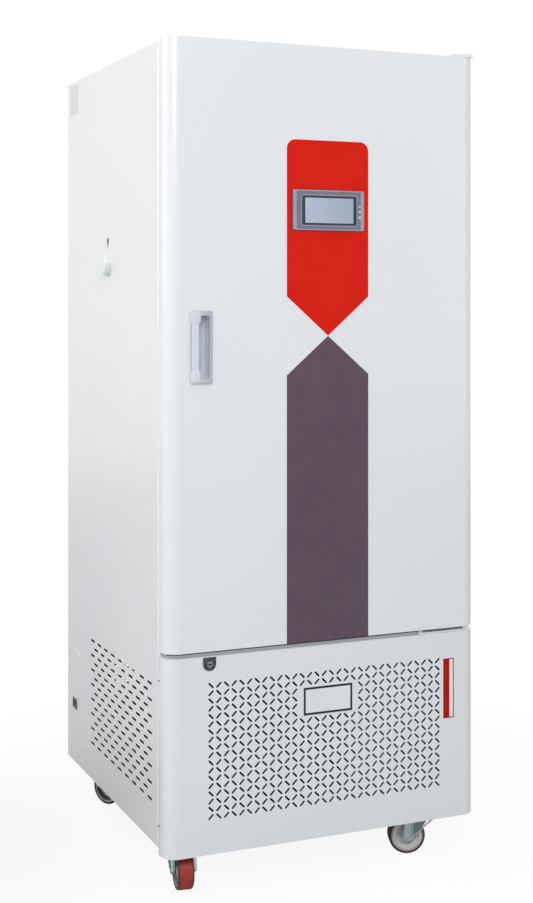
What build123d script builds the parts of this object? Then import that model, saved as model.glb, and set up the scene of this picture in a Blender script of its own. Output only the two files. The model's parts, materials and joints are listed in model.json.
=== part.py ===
"""Floor-standing climate chamber on casters: a full-height hinged door over a heated and cooled
chamber, with the refrigeration machinery behind a slotted panel underneath.

Origin on the floor under the middle of the cabinet, +Z up, the door faces -Y, +X is to the right
as seen from the front. All sizes are in millimetres.
"""
from build123d import *
import math
import os

os.makedirs("parts", exist_ok=True)

# Overall sizes
cabinet_width = 680.0
cabinet_depth = 678.0
cabinet_top = 1635.0
sheet = 1.5
clearance = 0.3
fit_clearance = 0.05

# Door
door_thickness = 34.0
door_bottom = 466.0
door_rise = 5.0
door_front_radius = 30.0
door_back_radius = 3.5
door_gap = 7.0
door_return = 12.0

# Cabinet shell
side_bottom = 90.0
side_flange = 12.0
side_front_radius = 8.0
side_back_radius = 2.0
rear_panel_inset = 4.5
frame_depth = 30.0
wall_side = 60.0
wall_back = 49.0
wall_floor = 54.0
wall_roof = 60.0
liner_sheet = 1.2
liner_corner = 12.0
deck_sheet = 2.0

# Lower front panel and base
lower_bottom = 77.0
lower_gap = 10.0
base_height = 102.0
base_sheet = 3.0
base_lip = 30.0

# Where the rest follows from these
half_width = cabinet_width / 2
face_y = -cabinet_depth / 2
back_y = cabinet_depth / 2
door_back_y = face_y + door_thickness
front_y = door_back_y + door_gap
frame_back_y = front_y + frame_depth
door_top = cabinet_top + door_rise
shell_top = cabinet_top - sheet
inside_x = half_width - sheet
rear_face_y = back_y - 2 * sheet
chamber_x = half_width - wall_side
chamber_back_y = back_y - wall_back
chamber_floor = door_bottom + wall_floor
chamber_roof = cabinet_top - wall_roof
lower_top = door_bottom - lower_gap
machine_floor = base_height + base_sheet


def finish(piece, name):
    """Label a finished piece and write its file."""
    piece.part.label = name
    export_step(piece.part, "parts/" + name + ".step")


def span(low, high):
    """The middle and the length of a stretch."""
    return (low + high) / 2, high - low


def box_between(x_low, x_high, y_low, y_high, z_low, z_high, mode=Mode.ADD):
    """A block between two opposite corners, for use inside a part builder."""
    x_mid, x_size = span(x_low, x_high)
    y_mid, y_size = span(y_low, y_high)
    z_mid, z_size = span(z_low, z_high)
    with Locations((x_mid, y_mid, z_mid)):
        Box(x_size, y_size, z_size, mode=mode)


def rectangle_between(u_low, u_high, v_low, v_high, mode=Mode.ADD):
    """A rectangle between two opposite corners, for use inside a sketch builder."""
    u_mid, u_size = span(u_low, u_high)
    v_mid, v_size = span(v_low, v_high)
    with Locations((u_mid, v_mid)):
        Rectangle(u_size, v_size, mode=mode)


def rounded_between(u_low, u_high, v_low, v_high, radius, mode=Mode.ADD):
    """A rectangle between two corners with all four of its corners rounded."""
    u_mid, u_size = span(u_low, u_high)
    v_mid, v_size = span(v_low, v_high)
    with Locations((u_mid, v_mid)):
        RectangleRounded(u_size, v_size, radius, mode=mode)


def front_plane(y):
    """A sketch plane that faces the front at depth y: first axis +X, second axis +Z."""
    return Plane(origin=(0, y, 0), x_dir=(1, 0, 0), z_dir=(0, -1, 0))


def side_plane(x):
    """A sketch plane square to X: first axis +Y, second axis +Z."""
    return Plane.YZ.offset(x)


# Side panels: a folded sheet each, with a rounded front edge, flanges at the front and back,
# a field of staggered vent slots low down and two tabs that the lower front panel screws to.
vent_length = 27.0
vent_height = 5.0
vent_pitch = 48.0
vent_row_pitch = 16.0
vent_rows = 15
vent_columns = 9
vent_low = 170.0
vent_front = 52.4
tab_half_height = 14.0
screw_levels = (135.0, 412.0)
screw_from_seam = 4.0
screw_shank = 1.7
port_from_seam = 325.5
port_level = 1214.6
port_tube = 22.0
cover_y = (241.0, 330.0)
cover_z = (238.0, 344.0)
inlet_from_seam = 575.0
inlet_level = 223.5
inlet_size = (27.0, 19.0)
port_y = front_y + port_from_seam
inlet_y = front_y + inlet_from_seam
screw_y = front_y - screw_from_seam
tab_length = front_y - face_y - door_front_radius - clearance


def vent_spots():
    """Centres of the vent slots of one side, as (y, z)."""
    spots = []
    for row in range(vent_rows):
        long_row = row % 2 == 0
        count = vent_columns if long_row else vent_columns - 1
        start = front_y + vent_front + (0 if long_row else vent_pitch / 2)
        for column in range(count):
            spots.append((start + column * vent_pitch, vent_low + row * vent_row_pitch))
    return spots


def side_panel(side):
    """One side panel: side is -1 for the left one and +1 for the right one."""
    outer = side * half_width
    flange_end = side * (half_width - side_flange)
    wall = side * inside_x
    with BuildPart() as panel:
        with BuildSketch(Plane.XY.offset(side_bottom)):
            rectangle_between(min(outer, flange_end), max(outer, flange_end), front_y, back_y)
            outer_corners = vertices().group_by(Axis.X)[0 if side < 0 else -1].sort_by(Axis.Y)
            fillet(outer_corners[0], side_front_radius)
            outer_corners = vertices().group_by(Axis.X)[0 if side < 0 else -1].sort_by(Axis.Y)
            fillet(outer_corners[-1], side_back_radius)
            with BuildSketch(mode=Mode.SUBTRACT):
                rectangle_between(min(wall, flange_end), max(wall, flange_end),
                                  front_y + sheet, back_y - sheet)
                inner = vertices().group_by(Axis.X)[0 if side < 0 else -1].sort_by(Axis.Y)
                fillet(inner[0], side_front_radius - sheet)
                inner = vertices().group_by(Axis.X)[0 if side < 0 else -1].sort_by(Axis.Y)
                fillet(inner[-1], side_back_radius - sheet)
        extrude(amount=shell_top - side_bottom)
        tab_inner = side * (inside_x - sheet)
        for level in screw_levels:
            box_between(min(wall, tab_inner), max(wall, tab_inner), front_y - tab_length,
                        front_y + side_front_radius - 2 * sheet,
                        level - tab_half_height, level + tab_half_height)
        with BuildSketch(side_plane(side * (half_width + sheet))):
            with Locations(*vent_spots()):
                SlotOverall(vent_length, vent_height)
            with Locations(*[(screw_y, level) for level in screw_levels]):
                Circle(screw_shank + fit_clearance)
            if side < 0:
                with Locations((port_y, port_level)):
                    Circle(port_tube + clearance)
                with Locations((inlet_y, inlet_level)):
                    Rectangle(inlet_size[0] + 2 * clearance, inlet_size[1] + 2 * clearance)
        extrude(amount=-side * 4 * sheet, mode=Mode.SUBTRACT)
    return panel


left_side_panel = side_panel(-1)
finish(left_side_panel, "left_side_panel")
right_side_panel = side_panel(1)
finish(right_side_panel, "right_side_panel")

# Top panel: a flat lid sheet on the side panels
with BuildPart() as top_panel:
    with BuildSketch(Plane.XY.offset(shell_top)):
        rectangle_between(-half_width, half_width, front_y, back_y)
        fillet(vertices().group_by(Axis.Y)[0], side_front_radius)
        fillet(vertices().group_by(Axis.Y)[-1], side_back_radius)
    extrude(amount=sheet)
finish(top_panel, "top_panel")

# Rear panel: closes the back from inside the side flanges, with louvres for the machine space
rear_slot = (70.0, 5.0)
rear_slot_pitch = (100.0, 18.0)
rear_slot_counts = (5, 9)
rear_slots_middle = 300.0
drain_x = -120.0
drain_from_lip = 30.0
drain_radius = 8.0
drain_neck_radius = 10.0
drain_level = base_height + base_lip + drain_from_lip
with BuildPart() as rear_panel:
    rear_x = inside_x - rear_panel_inset
    box_between(-rear_x, rear_x, rear_face_y, rear_face_y + sheet, machine_floor, shell_top)
    with BuildSketch(front_plane(back_y)):
        with Locations((0, rear_slots_middle)):
            with GridLocations(*rear_slot_pitch, *rear_slot_counts):
                SlotOverall(*rear_slot)
        with Locations((drain_x, drain_level)):
            Circle(drain_neck_radius + clearance)
    extrude(amount=4 * sheet, mode=Mode.SUBTRACT)
finish(rear_panel, "rear_panel")

# Front frame: the plastic thermal break around the opening, which the gasket seals on. It also
# carries the pivots of the inner glass door.
glass_pivot_x = chamber_x - 10.0
glass_pivot_y = frame_back_y - 7.0
glass_pin_radius = 3.0
glass_pin_length = 8.0
with BuildPart() as front_frame:
    frame_x = half_width - side_flange
    with BuildSketch(front_plane(front_y)):
        rectangle_between(-frame_x, frame_x, door_bottom, shell_top)
        rounded_between(-chamber_x, chamber_x, chamber_floor, chamber_roof, liner_corner,
                        mode=Mode.SUBTRACT)
    extrude(amount=-frame_depth)
    with BuildSketch(Plane.XY.offset(chamber_floor - glass_pin_length - clearance)):
        with Locations((glass_pivot_x, glass_pivot_y)):
            Circle(glass_pin_radius + fit_clearance)
    extrude(amount=chamber_roof - chamber_floor + 2 * glass_pin_length + 2 * clearance,
            mode=Mode.SUBTRACT)
finish(front_frame, "front_frame")

# Inner liner: the stainless chamber, open at the front
liner_x = chamber_x + liner_sheet
port_bore = 20.0
with BuildPart() as inner_liner:
    with BuildSketch(front_plane(frame_back_y)):
        rounded_between(-liner_x, liner_x, chamber_floor - liner_sheet,
                        chamber_roof + liner_sheet, liner_corner + liner_sheet)
    extrude(amount=-(chamber_back_y + liner_sheet - frame_back_y))
    with BuildSketch(front_plane(frame_back_y)):
        rounded_between(-chamber_x, chamber_x, chamber_floor, chamber_roof, liner_corner)
    extrude(amount=-(chamber_back_y - frame_back_y), mode=Mode.SUBTRACT)
    with BuildSketch(side_plane(-chamber_x + 1)):
        with Locations((port_y, port_level)):
            Circle(port_bore)
    extrude(amount=-2 * liner_sheet - 1, mode=Mode.SUBTRACT)
finish(inner_liner, "inner_liner")

# Foam insulation: fills the space between the liner and the outer sheets
with BuildPart() as cabinet_foam:
    box_between(-inside_x, inside_x, frame_back_y, rear_face_y, door_bottom, shell_top)
    with BuildSketch(front_plane(frame_back_y)):
        rounded_between(-liner_x - clearance, liner_x + clearance,
                        chamber_floor - liner_sheet - clearance,
                        chamber_roof + liner_sheet + clearance, liner_corner + liner_sheet)
    extrude(amount=-(chamber_back_y + liner_sheet - frame_back_y), mode=Mode.SUBTRACT)
    with BuildSketch(side_plane(-liner_x)):
        with Locations((port_y, port_level)):
            Circle(port_tube + clearance)
    extrude(amount=-wall_side, mode=Mode.SUBTRACT)
finish(cabinet_foam, "cabinet_foam")

# Machine deck: the sheet shelf that carries the foamed chamber above the machine space
deck_front_y = front_y + side_front_radius
with BuildPart() as machine_deck:
    box_between(-inside_x, inside_x, deck_front_y, rear_face_y,
                door_bottom - deck_sheet, door_bottom)
finish(machine_deck, "machine_deck")

# Base tray: a folded tray that the casters bolt to. It reaches forward under the lower panel.
with BuildPart() as base_tray:
    box_between(-inside_x, inside_x, deck_front_y, rear_face_y, base_height,
                base_height + base_lip)
    box_between(-inside_x + base_sheet, inside_x - base_sheet, deck_front_y + base_sheet,
                rear_face_y - base_sheet, machine_floor, base_height + base_lip,
                mode=Mode.SUBTRACT)
    nose_x = inside_x - door_front_radius
    box_between(-nose_x, nose_x, face_y + 2 * sheet, deck_front_y, base_height, machine_floor)
finish(base_tray, "base_tray")


def door_outline(back_y_here, radius_front, radius_back, inset):
    """Plan of the door or of the panel under it: rounded at the front, eased at the back."""
    rectangle_between(-half_width + inset, half_width - inset, face_y + inset, back_y_here)
    fillet(vertices().group_by(Axis.Y)[0], radius_front)
    if radius_back > 0:
        fillet(vertices().group_by(Axis.Y)[-1], radius_back)


# Lower front panel: one folded sheet with rounded corners, perforated by short slots at 45
# degrees that lean left and right in turn. A block of slots is left out for the nameplate. A ledge
# along the top closes most of the gap under the door, up to the hinge bracket.
ledge_inset = 4.0
ledge_height = 7.0
bracket_low_x = 208.0
lock_x = -251.2
lock_core_radius = 6.5
lock_plate_size = (26.2, 25.7)
lock_plate_thickness = 2.0
lock_drop = 13.7
lock_barrel_radius = 9.0
lock_barrel_length = 8.0
tongue_reach = 31.7
tongue_half_width = 4.0
tongue_thickness = 2.5
tongue_play = 3.0
grille_slot = (14.0, 3.8)
grille_pitch = (16.0, 14.8)
grille_counts = (32, 18)
grille_low = 149.2
grille_gap_columns = (12, 19)
grille_gap_rows = (12, 15)
lock_z = lower_top - lock_drop
tongue_front_y = face_y + sheet + lock_barrel_length + clearance
tongue_corner = math.hypot(tongue_reach, tongue_half_width)
strike_high = lock_z + tongue_corner + tongue_play


def grille_spots(leaning_left):
    """Centres of the grille slots that lean one way, as (x, z)."""
    spots = []
    for row in range(grille_counts[1]):
        for column in range(grille_counts[0]):
            in_gap = (grille_gap_columns[0] <= column <= grille_gap_columns[1]
                      and grille_gap_rows[0] <= row <= grille_gap_rows[1])
            from_top = grille_counts[1] - 1 - row
            if not in_gap and ((from_top + column) % 2 == 0) == leaning_left:
                x = (column - (grille_counts[0] - 1) / 2) * grille_pitch[0]
                spots.append((x, grille_low + row * grille_pitch[1]))
    return spots


def tongue_slot_x(level):
    """The stretch in X that the lock's tongue sweeps at a height, from level to upright."""
    reach = math.sqrt(tongue_corner ** 2 - (level - lock_z) ** 2)
    return lock_x - tongue_half_width - tongue_play, lock_x + reach + tongue_play


tongue_slot_y = (tongue_front_y - tongue_play / 2,
                 tongue_front_y + tongue_thickness + tongue_play / 2)
with BuildPart() as lower_front_panel:
    with BuildSketch(Plane.XY.offset(lower_bottom)):
        door_outline(front_y, door_front_radius, 0, 0)
    extrude(amount=lower_top - lower_bottom)
    with BuildSketch(Plane.XY.offset(lower_bottom)):
        door_outline(front_y, door_front_radius - sheet, 0, sheet)
    extrude(amount=lower_top - lower_bottom - sheet, mode=Mode.SUBTRACT)
    with BuildSketch(front_plane(face_y - sheet)):
        with Locations(*grille_spots(True)):
            SlotOverall(*grille_slot, rotation=-45)
        with Locations(*grille_spots(False)):
            SlotOverall(*grille_slot, rotation=45)
        with Locations((lock_x, lock_z)):
            Circle(lock_barrel_radius + clearance)
    extrude(amount=-3 * sheet, mode=Mode.SUBTRACT)
    with BuildSketch(Plane.XY.offset(lower_top)):
        door_outline(front_y, door_front_radius - ledge_inset, 0, ledge_inset)
    extrude(amount=ledge_height)
    with BuildSketch(Plane.XY.offset(lower_top)):
        door_outline(front_y, door_front_radius - ledge_inset - sheet, 0, ledge_inset + sheet)
    extrude(amount=ledge_height, mode=Mode.SUBTRACT)
    box_between(bracket_low_x - ledge_inset, half_width, face_y, front_y,
                lower_top, lower_top + ledge_height, mode=Mode.SUBTRACT)
    box_between(*tongue_slot_x(lower_top - sheet), *tongue_slot_y,
                lower_top - 2 * sheet, lower_top + sheet, mode=Mode.SUBTRACT)
    for side in (-1, 1):
        with BuildSketch(side_plane(side * (half_width + sheet))):
            with Locations(*[(screw_y, level) for level in screw_levels]):
                Circle(screw_shank + clearance)
        extrude(amount=-side * (2 * sheet + clearance), mode=Mode.SUBTRACT)
finish(lower_front_panel, "lower_front_panel")

# Panel screws: four pan-head screws through the lower panel into the tabs behind it
screw_head_radius = 3.5
screw_head_height = 2.0
with BuildPart() as panel_screws:
    for side in (-1, 1):
        for level in screw_levels:
            head_plane = Plane(origin=(side * half_width, screw_y, level),
                               x_dir=(0, 1, 0), z_dir=(side, 0, 0))
            with BuildSketch(head_plane):
                Circle(screw_head_radius)
            extrude(amount=screw_head_height, taper=20)
            with BuildSketch(head_plane):
                Circle(screw_shank)
            extrude(amount=-3 * sheet)
finish(panel_screws, "panel_screws")

# Nameplate and notice tag: bare plates on the lower panel
plate_thickness = 1.0
nameplate_size = (107.7, 55.7)
nameplate_level = 348.9
notice_x = (260.6, 287.6)
notice_z = (280.0, 404.6)
nameplate_corner = 3.0
notice_corner = 1.0
notice_thickness = 0.5
with BuildPart() as nameplate:
    with BuildSketch(front_plane(face_y)):
        with Locations((0, nameplate_level)):
            RectangleRounded(*nameplate_size, nameplate_corner)
    extrude(amount=plate_thickness)
finish(nameplate, "nameplate")
with BuildPart() as notice_tag:
    with BuildSketch(front_plane(face_y)):
        rounded_between(*notice_x, *notice_z, notice_corner)
    extrude(amount=notice_thickness)
finish(notice_tag, "notice_tag")

# Lock plate: a flat-topped plate with the barrel that the lock cylinder turns in
lock_plate_gap = 1.0
lock_plate_ease = 0.6
with BuildPart() as lock_plate:
    plate_low = lower_top - lock_plate_gap - lock_plate_size[1]
    plate_half = lock_plate_size[0] / 2
    with BuildSketch(front_plane(face_y)):
        rectangle_between(lock_x - plate_half, lock_x + plate_half,
                          plate_low + plate_half, lower_top - lock_plate_gap)
        with Locations((lock_x, plate_low + plate_half)):
            Circle(plate_half)
    extrude(amount=lock_plate_thickness)
    with BuildSketch(front_plane(face_y)):
        with Locations((lock_x, lock_z)):
            Circle(lock_barrel_radius)
    extrude(amount=-(sheet + lock_barrel_length))
    with BuildSketch(front_plane(face_y - lock_plate_thickness)):
        with Locations((lock_x, lock_z)):
            Circle(lock_core_radius + fit_clearance)
    extrude(amount=-(lock_plate_thickness + sheet + lock_barrel_length), mode=Mode.SUBTRACT)
    fillet(lock_plate.edges().group_by(Axis.Y)[0].filter_by(
        lambda edge: edge.length > 4 * lock_core_radius), lock_plate_ease)
finish(lock_plate, "lock_plate")

# Lock cylinder: the key core with its slot, and the tongue that rises into the door
keyway = (8.0, 1.8)
core_proud = 1.5
with BuildPart() as lock_cylinder:
    core_front_y = face_y - lock_plate_thickness - core_proud
    with BuildSketch(front_plane(core_front_y)):
        with Locations((lock_x, lock_z)):
            Circle(lock_core_radius)
            Rectangle(*keyway, mode=Mode.SUBTRACT)
    extrude(amount=-(tongue_front_y + tongue_thickness - core_front_y))
    with BuildSketch(front_plane(tongue_front_y)):
        rectangle_between(lock_x, lock_x + tongue_reach,
                          lock_z - tongue_half_width, lock_z + tongue_half_width)
        with Locations((lock_x, lock_z)):
            Circle(lock_core_radius)
    extrude(amount=-tongue_thickness)
finish(lock_cylinder, "lock_cylinder")

# Hinge line of the outer door
hinge_from_side = 19.0
hinge_from_face = 13.0
hinge_pin_radius = 4.0
hinge_pin_engaged = 14.0
hinge_x = half_width - hinge_from_side
hinge_y = face_y + hinge_from_face

# Touch screen unit, red and maroon panels and handle: sizes used by the door as well
hmi_size = (156.0, 79.8)
hmi_level = 1315.7
hmi_proud = 4.0
hmi_body_margin = 4.0
hmi_body_depth = 26.0
hmi_corner = 3.0
screen_size = (118.0, 56.6)
screen_shift = (1.2, -0.5)
screen_recess = 2.0
screen_thickness = 1.5
stripe_half_width = 89.0
stripe_thickness = 0.8
red_top = 1453.7
red_shoulder = 1145.8
red_tip = 1068.5
red_corner = 18.0
maroon_tip = 1067.5
maroon_shoulder = 991.0
handle_x = (-292.0, -246.8)
handle_z = (979.0, 1118.0)
handle_proud = 6.0
handle_wall = 4.0
handle_depth = 22.0
handle_floor = 2.0
handle_corner = 4.0
grip_width = 16.0
grip_inset = 2.0
grip_thickness = 5.5
grip_cap = 22.0
finger_width = 18.0
finger_end = 9.0
hmi_body = (hmi_size[0] - 2 * hmi_body_margin, hmi_size[1] - 2 * hmi_body_margin)


def handle_cup(grow):
    """Outline of the handle's cup behind its rim, made larger by grow on every side."""
    rounded_between(handle_x[0] + handle_wall - grow, handle_x[1] - handle_wall + grow,
                    handle_z[0] + handle_wall - grow, handle_z[1] - handle_wall + grow,
                    handle_corner)


# Door outer panel: a folded shell with rounded front corners and a return at the back
with BuildPart() as door_outer_panel:
    with BuildSketch(Plane.XY.offset(door_bottom)):
        door_outline(door_back_y, door_front_radius, door_back_radius, 0)
    extrude(amount=door_top - door_bottom)
    with BuildSketch(Plane.XY.offset(door_bottom + sheet)):
        door_outline(door_back_y - sheet, door_front_radius - sheet,
                     door_back_radius - sheet, sheet)
    extrude(amount=door_top - door_bottom - 2 * sheet, mode=Mode.SUBTRACT)
    return_x = inside_x - door_return
    box_between(-return_x, return_x, door_back_y - 2 * sheet, door_back_y + sheet,
                door_bottom + sheet + door_return, door_top - sheet - door_return,
                mode=Mode.SUBTRACT)
    with BuildSketch(front_plane(face_y - sheet)):
        with Locations((0, hmi_level)):
            Rectangle(hmi_body[0] + 2 * clearance, hmi_body[1] + 2 * clearance)
        handle_cup(clearance)
    extrude(amount=-3 * sheet, mode=Mode.SUBTRACT)
    for level in (door_bottom - sheet, door_top - 2 * sheet):
        with BuildSketch(Plane.XY.offset(level)):
            with Locations((hinge_x, hinge_y)):
                Circle(hinge_pin_radius + fit_clearance)
        extrude(amount=3 * sheet, mode=Mode.SUBTRACT)
    box_between(*tongue_slot_x(door_bottom), *tongue_slot_y,
                door_bottom - sheet, door_bottom + 2 * sheet, mode=Mode.SUBTRACT)
finish(door_outer_panel, "door_outer_panel")

# Door foam: fills the shell, with pockets for the screen unit, handle, lock and hinge pins
pocket = 1.0
with BuildPart() as door_foam:
    with BuildSketch(Plane.XY.offset(door_bottom + sheet + clearance)):
        foam_inset = sheet + clearance
        door_outline(door_back_y - foam_inset, door_front_radius - foam_inset,
                     door_back_radius - foam_inset, foam_inset)
    extrude(amount=door_top - door_bottom - 2 * (sheet + clearance))
    with BuildSketch(front_plane(face_y)):
        with Locations((0, hmi_level)):
            Rectangle(hmi_body[0] + 2 * pocket, hmi_body[1] + 2 * pocket)
    extrude(amount=-(hmi_body_depth + pocket), mode=Mode.SUBTRACT)
    with BuildSketch(front_plane(face_y)):
        handle_cup(pocket)
    extrude(amount=-(handle_depth + handle_floor + pocket), mode=Mode.SUBTRACT)
    for level in (door_bottom, door_top - sheet - hinge_pin_engaged - pocket):
        with BuildSketch(Plane.XY.offset(level)):
            with Locations((hinge_x, hinge_y)):
                Circle(hinge_pin_radius + pocket)
        extrude(amount=sheet + hinge_pin_engaged + pocket, mode=Mode.SUBTRACT)
    box_between(*tongue_slot_x(door_bottom), *tongue_slot_y, door_bottom, strike_high,
                mode=Mode.SUBTRACT)
finish(door_foam, "door_foam")

# Door inner panel: closes the back of the door, with a hollow raised rim that enters the opening
inner_panel_edge = 20.0
rim_clear = 8.0
rim_width = 22.0
rim_into_opening = 13.0
rim_corner = 10.0
with BuildPart() as door_inner_panel:
    rim_x = chamber_x - rim_clear
    rim_back_y = front_y + rim_into_opening
    edge_x = half_width - inner_panel_edge
    with BuildSketch(front_plane(door_back_y)):
        rounded_between(-edge_x, edge_x, door_bottom + inner_panel_edge,
                        door_top - inner_panel_edge, rim_corner)
    extrude(amount=-sheet)
    with BuildSketch(front_plane(door_back_y)):
        rounded_between(-rim_x, rim_x, chamber_floor + rim_clear, chamber_roof - rim_clear,
                        rim_corner)
        rectangle_between(-rim_x + rim_width, rim_x - rim_width,
                          chamber_floor + rim_clear + rim_width,
                          chamber_roof - rim_clear - rim_width, mode=Mode.SUBTRACT)
    extrude(amount=-(rim_back_y - door_back_y))
    with BuildSketch(front_plane(door_back_y)):
        rectangle_between(-rim_x + sheet, rim_x - sheet, chamber_floor + rim_clear + sheet,
                          chamber_roof - rim_clear - sheet)
        rectangle_between(-rim_x + rim_width - sheet, rim_x - rim_width + sheet,
                          chamber_floor + rim_clear + rim_width - sheet,
                          chamber_roof - rim_clear - rim_width + sheet, mode=Mode.SUBTRACT)
    extrude(amount=-(rim_back_y - door_back_y - sheet), mode=Mode.SUBTRACT)
finish(door_inner_panel, "door_inner_panel")

# Door gasket: the magnetic seal that closes the gap all round the opening
gasket_width = 24.0
gasket_from_opening = 4.0
with BuildPart() as door_gasket:
    gasket_in = chamber_x + gasket_from_opening
    gasket_low = chamber_floor - gasket_from_opening
    gasket_high = chamber_roof + gasket_from_opening
    with BuildSketch(front_plane(door_back_y + sheet)):
        rounded_between(-gasket_in - gasket_width, gasket_in + gasket_width,
                        gasket_low - gasket_width, gasket_high + gasket_width,
                        gasket_width / 2)
        rounded_between(-gasket_in, gasket_in, gasket_low, gasket_high, liner_corner,
                        mode=Mode.SUBTRACT)
    extrude(amount=-(door_gap - sheet))
finish(door_gasket, "door_gasket")

# Handle: a moulded housing with a cup for the fingers, and the upright grip bar across it
handle_ease = 1.5
grip_round = 2.5
grip_side_gap = 1.0
grip_low = handle_z[0] + grip_cap
grip_high = handle_z[1] - grip_cap
cup_right = handle_x[1] - handle_wall - handle_floor
finger_left = cup_right - finger_width
with BuildPart() as handle_housing:
    with BuildSketch(front_plane(face_y)):
        rounded_between(*handle_x, *handle_z, handle_corner)
    extrude(amount=handle_proud)
    fillet(handle_housing.faces().sort_by(Axis.Y)[0].edges(), handle_ease)
    with BuildSketch(front_plane(face_y)):
        handle_cup(0)
    extrude(amount=-(handle_depth + handle_floor))
    with BuildSketch(front_plane(face_y - handle_proud)):
        rectangle_between(handle_x[0] + grip_inset - grip_side_gap, cup_right,
                          grip_low, grip_high)
    extrude(amount=-handle_proud, mode=Mode.SUBTRACT)
    with BuildSketch(front_plane(face_y - handle_proud)):
        rounded_between(finger_left, cup_right, handle_z[0] + finger_end,
                        handle_z[1] - finger_end, handle_corner)
        rectangle_between(handle_x[0] + handle_wall + handle_floor, cup_right,
                          grip_low, grip_high)
    extrude(amount=-(handle_proud + handle_depth), mode=Mode.SUBTRACT)
finish(handle_housing, "handle_housing")
with BuildPart() as handle_grip:
    grip_left = handle_x[0] + grip_inset
    with BuildSketch(Plane.XY.offset(grip_low)):
        rounded_between(grip_left, grip_left + grip_width, face_y - handle_proud,
                        face_y - handle_proud + grip_thickness, grip_round)
    extrude(amount=grip_high - grip_low)
finish(handle_grip, "handle_grip")

# Red panel and maroon panel: thin pointed plates on the door's face
with BuildPart() as red_panel:
    with BuildSketch(front_plane(face_y)):
        with BuildLine():
            Polyline((-stripe_half_width, red_top), (-stripe_half_width, red_shoulder),
                     (0, red_tip), (stripe_half_width, red_shoulder),
                     (stripe_half_width, red_top), close=True)
        make_face()
        fillet(vertices().group_by(Axis.Y)[-1], red_corner)
        with Locations((0, hmi_level)):
            Rectangle(hmi_body[0] + 2 * clearance, hmi_body[1] + 2 * clearance,
                      mode=Mode.SUBTRACT)
    extrude(amount=stripe_thickness)
finish(red_panel, "red_panel")
with BuildPart() as maroon_panel:
    with BuildSketch(front_plane(face_y)):
        with BuildLine():
            Polyline((-stripe_half_width, door_bottom), (-stripe_half_width, maroon_shoulder),
                     (0, maroon_tip), (stripe_half_width, maroon_shoulder),
                     (stripe_half_width, door_bottom), close=True)
        make_face()
    extrude(amount=stripe_thickness)
finish(maroon_panel, "maroon_panel")

# Touch screen unit: bezel and body, with a recess for the screen glass
hmi_ease = 1.0
bezel_back_y = face_y - stripe_thickness
bezel_front_y = bezel_back_y - hmi_proud
screen_x = screen_shift[0]
screen_z = hmi_level + screen_shift[1]
with BuildPart() as hmi_unit:
    with BuildSketch(front_plane(bezel_back_y)):
        with Locations((0, hmi_level)):
            RectangleRounded(*hmi_size, hmi_corner)
    extrude(amount=hmi_proud)
    fillet(hmi_unit.faces().sort_by(Axis.Y)[0].edges(), hmi_ease)
    with BuildSketch(front_plane(bezel_back_y)):
        with Locations((0, hmi_level)):
            Rectangle(*hmi_body)
    extrude(amount=-hmi_body_depth)
    with BuildSketch(front_plane(bezel_front_y)):
        with Locations((screen_x, screen_z)):
            RectangleRounded(screen_size[0] + 2 * clearance, screen_size[1] + 2 * clearance,
                             hmi_corner)
    extrude(amount=-screen_recess, mode=Mode.SUBTRACT)
finish(hmi_unit, "hmi_unit")
with BuildPart() as hmi_screen:
    with BuildSketch(front_plane(bezel_front_y + screen_recess)):
        with Locations((screen_x, screen_z)):
            RectangleRounded(*screen_size, hmi_corner)
    extrude(amount=screen_thickness)
finish(hmi_screen, "hmi_screen")

# Hinge brackets: the lower one hangs under the deck and lies on the lower panel, the upper one
# sits on the top panel and reaches over the door. Each has the pin that the door turns on.
bracket_sheet = 3.0
bracket_back = 48.0
bracket_high_x = 278.0
bracket_end_inset = 4.0
bracket_front_inset = 8.0
bracket_gap = 1.0
bracket_screw = (5.5, 4.0)
bracket_screw_inset = 1.0
washer_radius = 7.5
hinge_running_gap = 0.3
hinge_cap_x = 296.0
hinge_cap_height = 3.0
with BuildPart() as bottom_hinge_bracket:
    bracket_end_x = half_width - bracket_end_inset
    plate_top = lower_top + bracket_sheet
    box_between(bracket_low_x, half_width - side_flange - clearance,
                face_y + bracket_front_inset, front_y + bracket_back, lower_top, plate_top)
    box_between(bracket_low_x, half_width - side_flange - bracket_end_inset, deck_front_y,
                front_y + bracket_back, plate_top, door_bottom - deck_sheet)
    with BuildSketch(Plane.XY.offset(plate_top)):
        with Locations((bracket_low_x + bracket_screw[0] + bracket_screw_inset, hinge_y)):
            Circle(bracket_screw[0])
    extrude(amount=bracket_screw[1])
    with BuildSketch(Plane.XY.offset(plate_top)):
        with Locations((hinge_x, hinge_y)):
            Circle(washer_radius)
    extrude(amount=door_bottom - plate_top - hinge_running_gap)
    with BuildSketch(Plane.XY.offset(plate_top)):
        with Locations((hinge_x, hinge_y)):
            Circle(hinge_pin_radius)
    extrude(amount=door_bottom - plate_top + hinge_pin_engaged)
finish(bottom_hinge_bracket, "bottom_hinge_bracket")
with BuildPart() as top_hinge_bracket:
    arm_low = door_top + bracket_gap
    arm_high = arm_low + bracket_sheet
    box_between(bracket_high_x, bracket_end_x, face_y + bracket_end_inset,
                front_y + bracket_back, arm_low, arm_high)
    box_between(bracket_high_x, bracket_end_x, front_y + bracket_gap,
                front_y + bracket_back, cabinet_top, arm_low)
    box_between(hinge_cap_x, bracket_end_x, face_y + bracket_end_inset,
                front_y + bracket_back, arm_high, arm_high + hinge_cap_height)
    fillet(top_hinge_bracket.edges().filter_by(Axis.Z).group_by(Axis.Y)[0], bracket_end_inset)
    with BuildSketch(Plane.XY.offset(arm_low)):
        with Locations((hinge_x, hinge_y)):
            Circle(hinge_pin_radius)
    extrude(amount=-(bracket_gap + hinge_pin_engaged))
finish(top_hinge_bracket, "top_hinge_bracket")

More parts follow.
